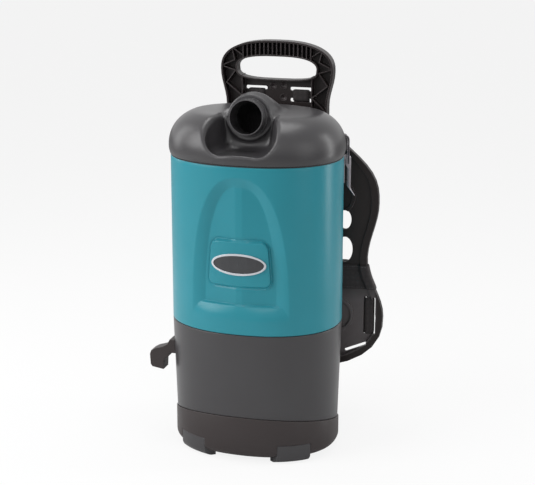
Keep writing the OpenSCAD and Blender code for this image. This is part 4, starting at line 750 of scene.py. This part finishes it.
def dome_field():
    """Distance from the domed oval."""
    spread = np.zeros((X.shape[0], Y.shape[1]))
    low, high = np.zeros_like(spread), np.full_like(spread, 1.3)
    for _ in range(26):
        spread = (low + high) / 2
        a, b = FLAT_A + (SWELL_A - FLAT_A) * spread, FLAT_B + (SWELL_B - FLAT_B) * spread
        outside = np.abs(X[:, :, 0] / a) ** SQUARE + np.abs(Y[:, :, 0] / b) ** SQUARE > 1
        low, high = np.where(outside, spread, low), np.where(outside, high, spread)
    up = np.clip((Z - BELLY) / (LID_TOP - BELLY), 0, None)
    measure = (spread[:, :, None] ** 2.2 + up ** 2.2) ** (1 / 2.2) - 1
    slope = np.sqrt(sum(g ** 2 for g in np.gradient(measure, STEP)))
    tuck = 3.0 * (np.clip(BELLY - Z, 0, None) / (BELLY - LID_LOW)) ** 2
    return (measure / np.maximum(slope, 1e-4)
            + tuck * (1 - 0.5 * np.clip(np.abs(Y) / SWELL_B, 0, 1)))


ALONG = (Y + PORT_Y) * math.cos(PORT_TILT) - (Z - PORT_Z) * math.sin(PORT_TILT)
ACROSS = np.hypot(X, (Y + PORT_Y) * math.sin(PORT_TILT) + (Z - PORT_Z) * math.cos(PORT_TILT))


def hood_field():
    """Distance from the hood: circles that sink and grow towards the back."""
    # places along y, then the circles' middle heights and radii there
    stations = [-41.2, -12, 14, 50, 70]
    ease = np.linspace(-60, 90, 151)
    kernel = np.exp(-(np.arange(-12, 13) / 6) ** 2)
    middle, radius = [
        np.interp(Y, ease, np.convolve(np.pad(np.interp(ease, stations, v), 12, "edge"),
                                       kernel / kernel.sum(), "valid"))
        for v in ([537.2, 534, 514, 498, 488], [COLLAR_R, 38.8, 47.8, 41.8, 34])]
    barrel = (np.hypot(X, Z - middle) - radius) * 0.92
    return np.maximum(barrel, np.maximum(18 - ALONG, (Y - HOOD_BACK) * 0.8))


def pocket_field():
    """Distance from the bowl in front of the inlet, which opens upwards and forwards."""
    # its foot is 51 mm wide to each side and lies between y = -97 and -44; it grows as it rises
    # and narrows by up to 15 mm towards the inlet
    rise = (Z - POCKET_Z) / 75
    behind = np.clip((Y + 88) / 44, 0, 1)
    half_w = 51 + 7 * rise - 15 * behind ** 2 * (3 - 2 * behind)
    front, back = -97 - 40 * rise, -44 + 10 * rise
    flat = rounded_box(X, Y - (front + back + 30) / 2, half_w, (back + 30 - front) / 2,
                       POCKET_CORNER)
    flat = -blend_in(-flat * 0.95, back - Y, BACK_ROUND)
    floor = POCKET_Z + 0.12 * (Y + 95)
    return -blend_in(-flat, (Z - floor) * np.ones_like(flat), FLOOR_ROUND)


dome, hood, pocket = dome_field(), hood_field(), pocket_field()
# the top is a flat deck with a faint crease round it
outside = -blend_in(-dome, DECK_Z - Z, DECK_ROUND)
outside = blend_out(outside, pocket, RIM_ROUND)
outside = blend_in(outside, np.maximum(hood, HOOD_LOW - Z), HOOD_ROUND)
# small nubs on the collar's parting line and a shallow step round its mouth
for side in (-1, 1):
    nub = np.sqrt((X - side * 33.6) ** 2 + (ALONG - 20) ** 2 * 0.4 + (Z - PORT_Z + 1) ** 2) - 2.6
    outside = blend_in(outside, nub, 1.0)
outside = blend_in(outside, np.maximum(np.abs(ALONG - 19.5) - 1.5,
                                       np.abs(ACROSS - COLLAR_R + 0.8) - 1.6), 1.0)
inside = np.minimum(np.maximum(np.maximum(dome + WALL, Z - INNER_TOP), WALL - pocket),
                    np.maximum(hood + WALL, 27 - ALONG))
# a wall 3 mm thicker at the rim, which sits on the tank
inside = inside + 3.0 * (Z < LID_LOW + 3)
lid = np.maximum(np.maximum(outside, -inside), LID_LOW - Z)
lid = np.maximum(lid, -np.maximum(ACROSS - PORT_BORE, np.abs(ALONG - 22) - 14))
print("lid field:", lid.shape, "voxels of", STEP, "mm")

# %% Surface of the lid
grid = openvdb.FloatGrid(20.0)
grid.copyFromArray(np.ascontiguousarray(np.clip(lid, -20, 20), np.float32))
surface, quads = grid.convertToQuads(isovalue=0.0)
lid_shell = new_piece("lid_shell", surface * STEP + low_corner, quads, charcoal_abs, "lid",
                      sharp=60)
stand_in(lid_shell, "lid_dome")
print("lid surface:", len(surface), "points")

# %% [markdown]
# ## Padding
#
# A pad of the harness is a nylon cover over foam. The foam pushes the cover outwards and the seam
# holds its edge in, so each face is crowned and the sides pull in between the corners. That is
# simulated rather than drawn: a slab that is a little too small is blown up as cloth under
# pressure, with a cap on how far any point may move. Each pad is made flat, in its own
# coordinates u (across), w (up) and t (thickness), and laid on its curved seat afterwards.

# %% Cushion under pressure
CUSHION_CELL, CUSHION_FRAMES = 5.0, 20


def rounded_outline(half_u, half_w, corner):
    """Points round a rectangle with round corners, in mm."""
    return np.array([(sign_u * (half_u - corner) + corner * math.cos(angle),
                      sign_w * (half_w - corner) + corner * math.sin(angle))
                     for turn, (sign_u, sign_w) in enumerate([(1, 1), (-1, 1), (-1, -1), (1, -1)])
                     for angle in np.radians(np.linspace(0, 90, 8) + 90 * turn)])


def mesh_arrays(thing):
    """Points in mm and faces of a piece."""
    points = np.empty(len(thing.data.vertices) * 3)
    thing.data.vertices.foreach_get("co", points)
    return points.reshape(-1, 3) / MM, [tuple(p.vertices) for p in thing.data.polygons]


def stuffed(half_u, half_w, thick, corner, swell):
    """Flat cushion: a small slab, remeshed, blown up as cloth and subdivided."""
    rings = []
    # shares of the thickness, and insets
    for t, inset in ((0.12, 5), (0.3, 2.2), (0.7, 2.2), (0.88, 5)):
        outline = rounded_outline(half_u - inset, half_w - inset, corner)
        rings.append(at_height(outline, t * thick)[:, [0, 2, 1]])
    cushion = raw_mesh("cushion", *capped(rings))
    even = cushion.modifiers.new("even", "REMESH")
    even.mode, even.voxel_size = "VOXEL", CUSHION_CELL * MM
    apply_all(cushion)
    before = mesh_arrays(cushion)[0]
    cloth = cushion.modifiers.new("cloth", "CLOTH").settings
    cloth.use_pressure, cloth.uniform_pressure_force = True, 4.0
    cloth.effector_weights.gravity = 0.0
    cloth.quality, cloth.mass = 6, 0.2
    for step in range(1, CUSHION_FRAMES + 1):
        scene.frame_set(step)
    apply_all(cushion)
    scene.frame_set(1)
    moved = mesh_arrays(cushion)[0] - before
    far = np.linalg.norm(moved, axis=1, keepdims=True)
    after = before + moved * np.minimum(1, swell / np.maximum(far, 1e-6))
    cushion.data.vertices.foreach_set("co", (after * MM).ravel())
    finer = cushion.modifiers.new("finer", "SUBSURF")
    finer.levels = finer.render_levels = 2
    apply_all(cushion)
    points, faces = mesh_arrays(cushion)
    bpy.data.objects.remove(cushion)
    print("cushion", round(2 * half_u), "x", round(2 * half_w), "points", len(points),
          "mean swell", round(float(far.mean()), 2), "mm")
    return points, faces


# %% Seams, piping and stitches
SEAM_DEEP, SEAM_W, PIPING_R, PIPING_IN = 1.8, 1.5, 1.7, 1.6
STITCH_PITCH, STITCH_SHARE, THREAD_R = 4.2, 0.68, 0.42


def seam_depth(u, w, lines):
    """Depth of the sewn channels: each line is a function that gives the distance from it."""
    near = np.min([np.abs(line(u, w)) for line in lines], axis=0)
    return SEAM_DEEP * np.exp(-(near / SEAM_W) ** 2)


def tube(name, path, radius, finish, body="root", loop=False, sides=10):
    """Round tube along points in mm; loop joins its ends."""
    path = np.asarray(path, float)
    ahead = np.roll(path, -1, 0) - np.roll(path, 1, 0)
    if not loop:
        ahead[0], ahead[-1] = path[1] - path[0], path[-1] - path[-2]
    ahead /= np.linalg.norm(ahead, axis=1, keepdims=True)
    side = np.cross(ahead[0], (0, 0, 1) if abs(ahead[0][2]) < 0.9 else (1, 0, 0))
    turns = np.radians(np.arange(sides) * 360 / sides)
    rings = []
    for place, way in zip(path, ahead):
        side = side - way * side.dot(way)
        side /= np.linalg.norm(side)
        up = np.cross(way, side)
        rings.append(place + radius * (np.outer(np.cos(turns), side) + np.outer(np.sin(turns), up)))
    points, faces = capped(rings)
    if loop:
        faces = ring_quads(len(rings), sides, wrap=True)
    return new_piece(name, points, faces, finish, body, sharp=60)


def stitched(row, share):
    """Stitches along a row of points; each covers a share of the way to the next point."""
    return [(p, p + (q - p) * share) for p, q in zip(row[:-1], row[1:])]


def thread_run(name, stitches, radius):
    """One mesh of short thread spindles, each between two points in mm."""
    spindles = []
    turns = np.radians(np.arange(0, 360, 72))
    quads = ring_quads(5, len(turns)).tolist()
    for p, q in stitches:
        way = (q - p) / np.linalg.norm(q - p)
        side = np.cross(way, (0.3, 0.5, 0.81))
        side /= np.linalg.norm(side)
        up = np.cross(way, side)
        spindles.append(([p + (q - p) * share
                          + radius * r * (math.cos(turn) * side + math.sin(turn) * up)
                          for share, r in ((0, 0.35), (0.15, 0.9), (0.5, 1), (0.85, 0.9), (1, 0.35))
                          for turn in turns], quads))
    new_piece(name, *joined(spindles), thread, sharp=80)


def even_steps(path, pitch, loop=True):
    """Points at an even pitch along a path."""
    path = np.vstack([path, path[:1]]) if loop else np.asarray(path, float)
    lengths = np.concatenate([[0], np.cumsum(np.linalg.norm(np.diff(path, axis=0), axis=1))])
    places = np.arange(0, lengths[-1], pitch)
    return np.column_stack([np.interp(places, lengths, path[:, i]) for i in range(path.shape[1])])


def sewn_pad(name, node, half_u, half_w, thick, corner, lines, rows, place, swell=3.0):
    """A stuffed pad on its seat, with sewn channels, piping round its edge and stitching.

    lines are the channels' distance functions, rows the paths of u and w that are stitched,
    and place lays flat points on the seat.
    """
    points, faces = stuffed(half_u, half_w, thick, corner, swell)
    u, t, w = points.T
    outer = np.clip((t - thick * 0.45) / (thick * 0.3), 0, 1)
    t = np.clip(t - outer * seam_depth(u, w, lines), 0.2, thick + 0.8)
    flat = np.column_stack([u, t, w])
    pad = new_piece(name, place(flat), faces, pad_nylon, sharp=80)
    stand_in(pad, node)
    skin = BVHTree.FromPolygons([Vector(p) for p in flat], faces)
    loop = even_steps(rounded_outline(half_u - PIPING_IN, half_w - PIPING_IN, corner), 3.0)
    edge = place(at_height(loop, thick * 0.5)[:, [0, 2, 1]])
    tube(name + "_piping", edge, PIPING_R, strap_nylon, loop=True)
    stitches = []
    for row, closed in rows:
        tips = []
        for a, b in even_steps(row, STITCH_PITCH, closed):
            hit = skin.ray_cast(Vector((a, thick + 20, b)), Vector((0, -1, 0)))[0]
            tips.append((a, (hit.y if hit else thick) + 0.15, b))
        stitches += stitched(place(np.array(tips)), STITCH_SHARE)
    thread_run(name + "_stitching", stitches, THREAD_R)


print("pad tools ready; simulation", "on")

# %% Lumbar pad
PLATE_AXIS, PLATE_R, PAD_T0 = 787.0, 675.0, 6.6


def bent_y(x, t):
    """Depth of a place x from the middle and t behind the plate's front face."""
    return PLATE_AXIS - np.sqrt((PLATE_R - t) ** 2 - np.asarray(x) ** 2)


def on_plate(flat, side, u0, w0, t0):
    """Flat points laid behind the bent plate, at a depth t0 and a place u0, w0."""
    u, t, w = np.asarray(flat, float).T
    return np.column_stack([side * (u + u0), bent_y(u + u0, t + t0), w + w0])


def inset_line(half_u, half_w, corner, inset):
    """Distance from a line that runs inset mm inside the pad's edge."""
    return lambda u, w: rounded_box(u, w, half_u, half_w, corner) + inset


def upright(end, *places):
    """Distances from upright seams at places u, which end at w = end; away from them, 9 mm."""
    return [lambda u, w, p=p: np.where(np.abs(w) < end, np.abs(u) - p, 9.0) for p in places]


def seam_rows(end, *places):
    """The stitched paths of upright seams."""
    return [([(p, -end), (p, end)], False) for p in places]


sewn_pad("lumbar_cushion", "lumbar_pad", 128, 40, 15, 14,
         [inset_line(128, 40, 14, 9), *upright(31, 0, 62)],
         [(rounded_outline(119, 31, 8), True), *seam_rows(31, 0, 62, -62)],
         lambda flat: on_plate(flat, 1, 0, 236, PAD_T0))

# %% Belt wings
WING_T0 = 21.9
for label, side in SIDES:
    sewn_pad("belt_cushion_" + label, "belt_wing_" + label, 46, 23.5, 12, 10,
             [inset_line(46, 23.5, 10, 7)], [(rounded_outline(39, 16.5, 5), True)],
             lambda flat, side=side: on_plate(flat, side, 80, 247.5, WING_T0), swell=2.0)

# %% [markdown]
# ## Shoulder pads
#
# A shoulder pad arches away from the plate, where the shoulder goes. Its inner line comes from the
# CAD: a sine bulge over a straight chord. The pad is laid on that line in the same way as the
# lumbar pad is laid on the plate.

# %% Shoulder pads
STRAP_LOW, STRAP_TOP, STRAP_X, BULGE = 296.0, 531.0, 46.0, 38.0
STRAP_FOOT, STRAP_HEAD = float(bent_y(76, 0)) + 6.3 + 0.3, 126.8


def on_strap(flat, side):
    """Flat points laid on the arch's inner side; the pad thins towards both ends."""
    u, t, w = np.asarray(flat, float).T
    z = w + (STRAP_LOW + STRAP_TOP) / 2
    up = np.clip((z - STRAP_LOW) / (STRAP_TOP - STRAP_LOW), 0, 1)
    arch = STRAP_FOOT + (STRAP_HEAD - STRAP_FOOT) * up + BULGE * np.sin(np.pi * up) ** 0.8
    thin = np.sin(np.pi * np.clip(up, 0.004, 0.996)) ** 0.25
    return np.column_stack([side * (STRAP_X + u), arch + t * thin, z])


for label, side in SIDES:
    sewn_pad("shoulder_cushion_" + label, "shoulder_pad_" + label, 30, 117.5, 13, 12,
             [inset_line(30, 117.5, 12, 7), *upright(105, 8)],
             [(rounded_outline(23, 110.5, 7), True), *seam_rows(105, 8, -8)],
             lambda flat, side=side: on_strap(flat, side))

# %% Ejector marks on the handle
# round pins push the handle out of its mould; each leaves a shallow disc with a raised lip
def circle(radius, count):
    """x and y round a circle."""
    turns = np.arange(count) * 2 * np.pi / count
    return np.column_stack([radius * np.cos(turns), radius * np.sin(turns)])


# a little inside the handle's outer face
MARK_Y = 123.2
marks = [capped([at_height(circle(r, 30), MARK_Y - proud)[:, [0, 2, 1]] + (x, 0, z)
                 for r, proud in ((6.4, 0), (6.3, 0.5), (5.7, 0.7), (5.1, 0.5), (4.9, 0.3))])
         for x, z in ((-9, 560), (8, 561.5), (8, 542))]
new_piece("handle_ejector_marks", *joined(marks), black_pp, sharp=50)
print("ejector marks:", len(marks))

# %% [markdown]
# ## Webbing and bands
#
# Flat nylon webbing bends easily across its width and hardly at all within it. So each strap is a
# grid: a path of centre points, smoothed at its folds, and a direction across. The grid becomes a
# strip with two faces that close at slightly thinner edges.

# %% Strips of cloth
def smooth_path(path, rounds=3):
    """Corner cutting: each round replaces a corner by two points near it. The ends stay."""
    path = np.asarray(path, float)
    for _ in range(rounds):
        near = path[:-1] * 0.75 + path[1:] * 0.25
        far = path[:-1] * 0.25 + path[1:] * 0.75
        inner = np.stack([near, far], 1).reshape(-1, path.shape[1])
        path = np.vstack([path[:1], inner, path[-1:]])
    return path


def strip(grid, thick=1.8):
    """Points and faces of a closed strip over a grid of centre points (along, across, xyz)."""
    normal = np.cross(np.gradient(grid, axis=0), np.gradient(grid, axis=1))
    normal /= np.maximum(np.linalg.norm(normal, axis=2, keepdims=True), 1e-9)
    share = np.abs(np.linspace(-1, 1, grid.shape[1]))[None, :, None]
    half = thick / 2 * np.sqrt(np.clip(1.02 - share ** 12, 0, 1))
    return capped([np.vstack([a, b[::-1]]) for a, b in zip(grid + normal * half,
                                                           grid - normal * half)])


def webbing(centre, across, width):
    """The strip of a webbing along a smooth path. Direction and width may change along it."""
    share = np.linspace(-0.5, 0.5, 15)[None, :] * np.broadcast_to(width, len(centre))[:, None]
    across = np.broadcast_to(across, centre.shape)
    return strip(centre[:, None] + share[:, :, None] * across[:, None])


def cloth_piece(name, points, faces, node=None):
    """A piece of webbing that stands in for a node, or that only wears the webbing's finish."""
    piece = new_piece(name, points, faces, strap_nylon, sharp=60)
    if node:
        stand_in(piece, node)


# %% Waist band
BAND_Z0, BAND_Z1, LOBE_HALF_W, WAIST_HALF_W = 230.5, 271.5, 176, 149.5
# half of the band's run: places from the middle, or from the plate's edge where they are
# within 15 mm of it, and depths: it hooks round the edge and back along the plate
on_face = [(x, -1.3) for x in (0, 40, 80, 110)]
round_edge = [(-15.0, -1.35), (-12.6, -2.6), (-12.5, -4.9), (-11.0, -6.4), (-5, -6.5),
              (0.2, -6.4), (1.5, -4.9), (1.5, 0), (1.4, 4.4), (-0.4, 5.4), (-10, 5.3), (-20, 5.3)]
band_grid = []
for z in np.linspace(BAND_Z0, BAND_Z1, 15):
    narrowed = (1 - math.cos(math.pi * (z - 182) / 98)) / 2
    reach = LOBE_HALF_W + (WAIST_HALF_W - LOBE_HALF_W) * narrowed
    half = smooth_path(on_face + [(reach + x, t) for x, t in round_edge], 2)
    x, t = np.vstack([half[::-1] * (-1, 1), half[1:]]).T
    slack = 0.35 * np.sin(x / 17 + z / 9) * (np.abs(x) < reach - 16)
    band_grid.append(np.column_stack([x, bent_y(x, t - slack * 0.5), np.full(len(x), z)]))
band_grid = np.array(band_grid).transpose(1, 0, 2)
cloth_piece("waist_band", *strip(band_grid), "lumbar_band")
hem_stitches = []
for column in (1, -2):
    line = even_steps(band_grid[:, column], 4.0, loop=False)
    outwards = np.cross(np.gradient(line, axis=0), (0, 0, 1))
    outwards /= np.maximum(np.linalg.norm(outwards, axis=1, keepdims=True), 1e-9)
    for face in (-1, 1):
        hem_stitches += stitched(line + outwards * 0.95 * face, 0.65)
thread_run("waist_band_stitching", hem_stitches, 0.4)
print("waist band grid:", band_grid.shape)

# %% Webbing in the handle's slots
HANDLE_BACK, HANDLE_WALL, SLOT_X, STRAP_WIDTH = 126.0, 3.0, 37, 26
back, front = HANDLE_BACK + 1.3, HANDLE_BACK - HANDLE_WALL - 1.3
fold = [(back, 532.5), (back, 536.4), (back - 0.6, 538.2), (front + 0.6, 538.2),
        (front, 540), (front, 553), (front + 0.6, 555.2), (back - 0.6, 555.2),
        (back + 0.3, 554.6), (back + 2.1, 552), (back + 2.2, 546), (back + 2.2, 533)]
sewn_box = np.array([(-10, 535), (10, 535), (10, 550), (-10, 550), (-10, 535), (10, 550)])
loops, bars = [], []
for side in (-1, 1):
    path = np.array([(side * SLOT_X, y, z) for y, z in fold])
    # the loop through the two slots, and the tail that is sewn down behind it
    loops += [webbing(smooth_path(run), (1, 0, 0), STRAP_WIDTH) for run in (path[:9], path[8:])]
    row = even_steps(sewn_box, 3.4, loop=False)
    bars += stitched(at_height(row, back + 3.2)[:, [0, 2, 1]] + (side * SLOT_X, 0, 0), 0.66)
cloth_piece("handle_webbing", *joined(loops), "upper_webbing")
thread_run("handle_webbing_stitching", bars, 0.4)
print("handle stitches:", len(bars))

# %% Webbing down to the lower lobes
# the strap starts behind the lumbar pad, dips through the inner slot and returns by the outer
low_x, low_z, slot_z, inner_x, outer_x = 64.0, 288.0, 184.5, 147.3, 160.8
BEHIND, FRONT = 5.3, -1.4
straps = []
for side in (-1, 1):
    way = np.array([inner_x - low_x, slot_z - low_z])
    way /= np.linalg.norm(way)
    path = [(low_x - 6 * way[0], BEHIND, low_z - 6 * way[1])]
    path += [(low_x + s * (inner_x - 14 - low_x), BEHIND, low_z + s * (slot_z - low_z))
             for s in (0, 0.3, 0.6, 0.85)]
    path += [(inner_x - 12, BEHIND, slot_z + 1.5), (inner_x - 3, BEHIND, slot_z)]
    path += [(x, t, slot_z) for x, t in ((inner_x, 4.4), (inner_x, -0.2), (inner_x + 1.2, FRONT),
                                         (outer_x - 1.2, FRONT), (outer_x, -0.4), (outer_x, 4.4))]
    centre = smooth_path([(side * x, float(bent_y(x, t)), z) for x, t, z in path])
    from_middle = np.abs(centre[:, 0])
    turn = np.clip((from_middle - 96) / 36, 0, 1)[:, None]
    across = np.array([side * -way[1], 0, way[0]]) * (1 - turn) + np.array([0, 0, 1.0]) * turn
    across /= np.linalg.norm(across, axis=1, keepdims=True)
    # the end is a sewn patch as tall as the slots, which spreads the load over the bar
    tall = 25.6 + 37.4 * np.clip((from_middle - 112) / 28, 0, 1) ** 1.5
    straps.append(webbing(centre, across, tall))
cloth_piece("lower_straps", *joined(straps), "lower_webbing")
print("lower straps:", len(straps))

# %% Belt webbing from the wings to the buckle
over_wing = WING_T0 + 12 + 1.3
belt_run = [(21, 27.3), (27, 27.6), (31, 30), (34.5, over_wing - 1.5), (41, over_wing + 0.4),
            (60, over_wing), (80, over_wing), (100, over_wing), (112, over_wing - 0.2)]
belt_box = np.array([(96, 238), (110, 238), (110, 256), (96, 256), (96, 238), (110, 256),
                     (110, 238), (96, 256)])
for label, side in SIDES:
    cloth_piece("belt_webbing_" + label,
                *webbing(smooth_path([(side * x, float(bent_y(x, t)), 247.0)
                                      for x, t in belt_run]), (0, 0, 1), 25.5))
    x, z = even_steps(belt_box, 3.2, loop=False).T
    thread_run("belt_box_stitch_" + label,
               stitched(np.column_stack([side * x, bent_y(x, over_wing + 1.05), z]), 0.66), 0.4)

# %% [markdown]
# ## Latch wires
#
# A bail is one length of 2.5 mm spring wire, bent at a form: it never has a sharp corner. Its
# path is the CAD's, with each corner cut into a bend, and the two ends turn into the lever.

# %% Bails
LATCH_X, LATCH_Y, LATCH_TURN = 127.352, 40.0, math.radians(23.5489)
PIVOT_U, BAIL_Z, BAR_U, BAR_Z, WIRE_W, WIRE_R = 7.5, 459.0, 2.7, 502.0, 7.3, 1.25


def on_latch(places, side):
    """Points (out, along, z) of a latch in the machine's frame."""
    out, along, z = np.asarray(places, float).T
    c, s = math.cos(LATCH_TURN), math.sin(LATCH_TURN)
    return np.column_stack([side * (LATCH_X + c * out - s * along), LATCH_Y + s * out + c * along,
                            z])


leg = [(PIVOT_U, 4.4, BAIL_Z), (PIVOT_U, 5.9, BAIL_Z), (PIVOT_U, WIRE_W, BAIL_Z),
       (PIVOT_U, WIRE_W, BAIL_Z + 2.5), (PIVOT_U, WIRE_W, BAR_Z - 12),
       (PIVOT_U, WIRE_W, BAR_Z - 6), (PIVOT_U - 1.0, WIRE_W, BAR_Z - 2),
       (BAR_U + 1.2, WIRE_W, BAR_Z), (BAR_U, WIRE_W - 0.4, BAR_Z), (BAR_U, WIRE_W - 2.5, BAR_Z)]
wire = smooth_path(leg + [(u, -w, z) for u, w, z in leg[::-1]])
for label, side in SIDES:
    bail = tube("wire_bail_" + label, on_latch(wire, side), WIRE_R, spring_wire, "bail_" + label,
                sides=14)
    stand_in(bail, "latch_bail_" + label)
print("bail wire points:", len(wire))

# %% [markdown]
# ## Latch levers
#
# A lever is pressed from 1.15 mm strip: a flat back, two flanges folded inwards along it, and a
# finger tip bent out at the end. The flanges deepen at the top, where they carry both pivots, and
# end there in a round.

# %% Levers
LEVER_U, LEVER_HALF, LEVER_BEND_Z, LEVER_THICK = 10.85 + 0.6, 4.9, 418.0, 1.15
ROUND_Z, ROUND_R, FLANGE_DEEP, FLANGE_MORE = 468, 3.4, 4.2, 3.1
lever_path = smooth_path([(LEVER_U, 467.2), (LEVER_U, 455), (LEVER_U, 440), (LEVER_U, 426),
                          (LEVER_U, LEVER_BEND_Z), (LEVER_U + 3.4, LEVER_BEND_Z - 5.6),
                          (LEVER_U + 6.7, LEVER_BEND_Z - 10.8)])


def flange_row(u, z, w):
    """One row of a flange, from the lever's back inwards."""
    # deeper above 450 mm, shallower towards the finger tip
    deep = FLANGE_DEEP + FLANGE_MORE * min(1, max(0, (z - 450) / 5))
    deep = deep * min(1, max(0.35, (z - 409) / 12))
    drop = 1 - math.sqrt(max(0.0, 1 - (max(0.0, z - ROUND_Z) / ROUND_R) ** 2))
    return np.column_stack([np.linspace(u - ROUND_R * drop, u - deep + 2.6 * drop, 5),
                            np.full(5, w), np.full(5, z)])


sheets = [np.array([[(u, w, z) for w in np.linspace(-LEVER_HALF, LEVER_HALF, 9)]
                    for u, z in lever_path])]
sheets += [np.array([flange_row(u, z, w) for u, z in
                     [(LEVER_U - 0.4, 471.2), (LEVER_U - 0.1, 469.6), *lever_path]])
           for w in (-LEVER_HALF, LEVER_HALF)]
for label, side in SIDES:
    parts = [strip(on_latch(sheet.reshape(-1, 3), side).reshape(sheet.shape), LEVER_THICK)
             for sheet in sheets]
    lever = new_piece("latch_lever_plate_" + label, *joined(parts), zinc_steel, "lever_" + label,
                      sharp=60)
    stand_in(lever, "latch_lever_" + label)
print("lever faces:", len(lever.data.polygons))

# %% [markdown]
# ## Filters
#
# The cloth filter is a sack with gathers, sewn to a moulded ring that rests on the tank's ledge.
# The paper bag inside it is creased by its folding and bellies out between the creases. Both are
# lofted rings whose radius ripples. The ripple is small where the ring holds the cloth and grows
# downwards.

# %% Cloth filter and paper bag
SACK_A, SACK_B = 110, 90


def sack(name, z_low, z_high, inset, ripple, folds, finish, wall, round_mm):
    """Soft sack hanging from z_high, rippled into folds and closed with a rounded bottom."""
    angles = np.radians(np.arange(0, 360, 1.5))
    around = len(angles)
    rows = []
    heights = list(np.linspace(z_high, z_low + round_mm, 26))
    heights += [z_low + round_mm * (1 - math.sin(a)) for a in np.linspace(0.2, 1.57, 8)]
    for z in heights:
        down = (z_high - z) / (z_high - z_low)
        low = max(0.0, (z_low + round_mm - z) / round_mm)
        pull = round_mm * (1 - math.sqrt(max(0.0, 1 - low ** 2)))
        wave = ripple * (0.25 + 0.75 * down) * (0.6 * np.cos(folds * angles + 1.3 * down)
                                                + 0.4 * np.cos((folds + 5) * angles - 2.1 * down))
        rows.append(at_height(oval_ring(angles, inset + ripple + pull), z)
                    * np.column_stack([1 - wave / SACK_A, 1 - wave / SACK_B, np.ones(around)]))
    shrink = np.array([1 - wall / SACK_A, 1 - wall / SACK_B, 1])
    inner = [row * shrink + (0, 0, 1.0 if i > 26 else 0) for i, row in enumerate(rows)][::-1]
    bottom = len(rows) * around
    quads = [tuple(q) for q in ring_quads(2 * len(rows), around, wrap=True).tolist()]
    # the ring of quads between the two bottoms gives way to two closed floors
    faces = quads[:bottom - around] + quads[bottom:]
    faces += [tuple(range(bottom - around, bottom)), tuple(range(bottom, bottom + around))[::-1]]
    return new_piece(name, np.concatenate(rows + inner), faces, finish, sharp=60)


cloth_sack = sack("cloth_filter_sack", 238, 465.5, 17.5, 1.6, 23, filter_felt, 1.2, 22)
ring_angles = np.radians(np.arange(0, 360, 2))
ring_rows = [at_height(oval_ring(ring_angles, inset), z) for inset, z in
             ((4.6, 464.2), (4.0, 464.8), (4.0, 467.4), (4.6, 468), (16.8, 468), (17.4, 467.4),
              (17.4, 464.8), (16.8, 464.2))]
filter_ring = new_piece("cloth_filter_ring", np.concatenate(ring_rows),
                        ring_quads(len(ring_rows), len(ring_angles), wrap=True), black_acetal,
                        sharp=50)
for piece in (cloth_sack, filter_ring):
    stand_in(piece, "cloth_filter")
paper_sack = sack("paper_dust_bag", 250, 455.5, 27.5, 2.2, 9, bag_paper, 0.8, 30)
stand_in(paper_sack, "filter_bag")
print("filter faces:", len(cloth_sack.data.polygons), len(paper_sack.data.polygons))

# %% Foam disc under the tank
DISC_R, DISC_FOOT = 53.8, 212
disc_turns = np.radians(np.arange(0, 360, 3))
disc_rings = []
for inset, z in ((2.0, 210.7), (0.6, 211.2), (0, 212.6), (0, 222.6), (0.7, 223.9), (2.2, 224.4)):
    reach = DISC_R - inset + 0.25 * np.sin(17 * disc_turns) * (z > DISC_FOOT)
    disc_rings.append(at_height(circle(1, 120) * reach[:, None], z))
stand_in(new_piece("foam_disc", *capped(disc_rings), open_foam), "motor_filter")
print("foam disc rings:", len(disc_rings))
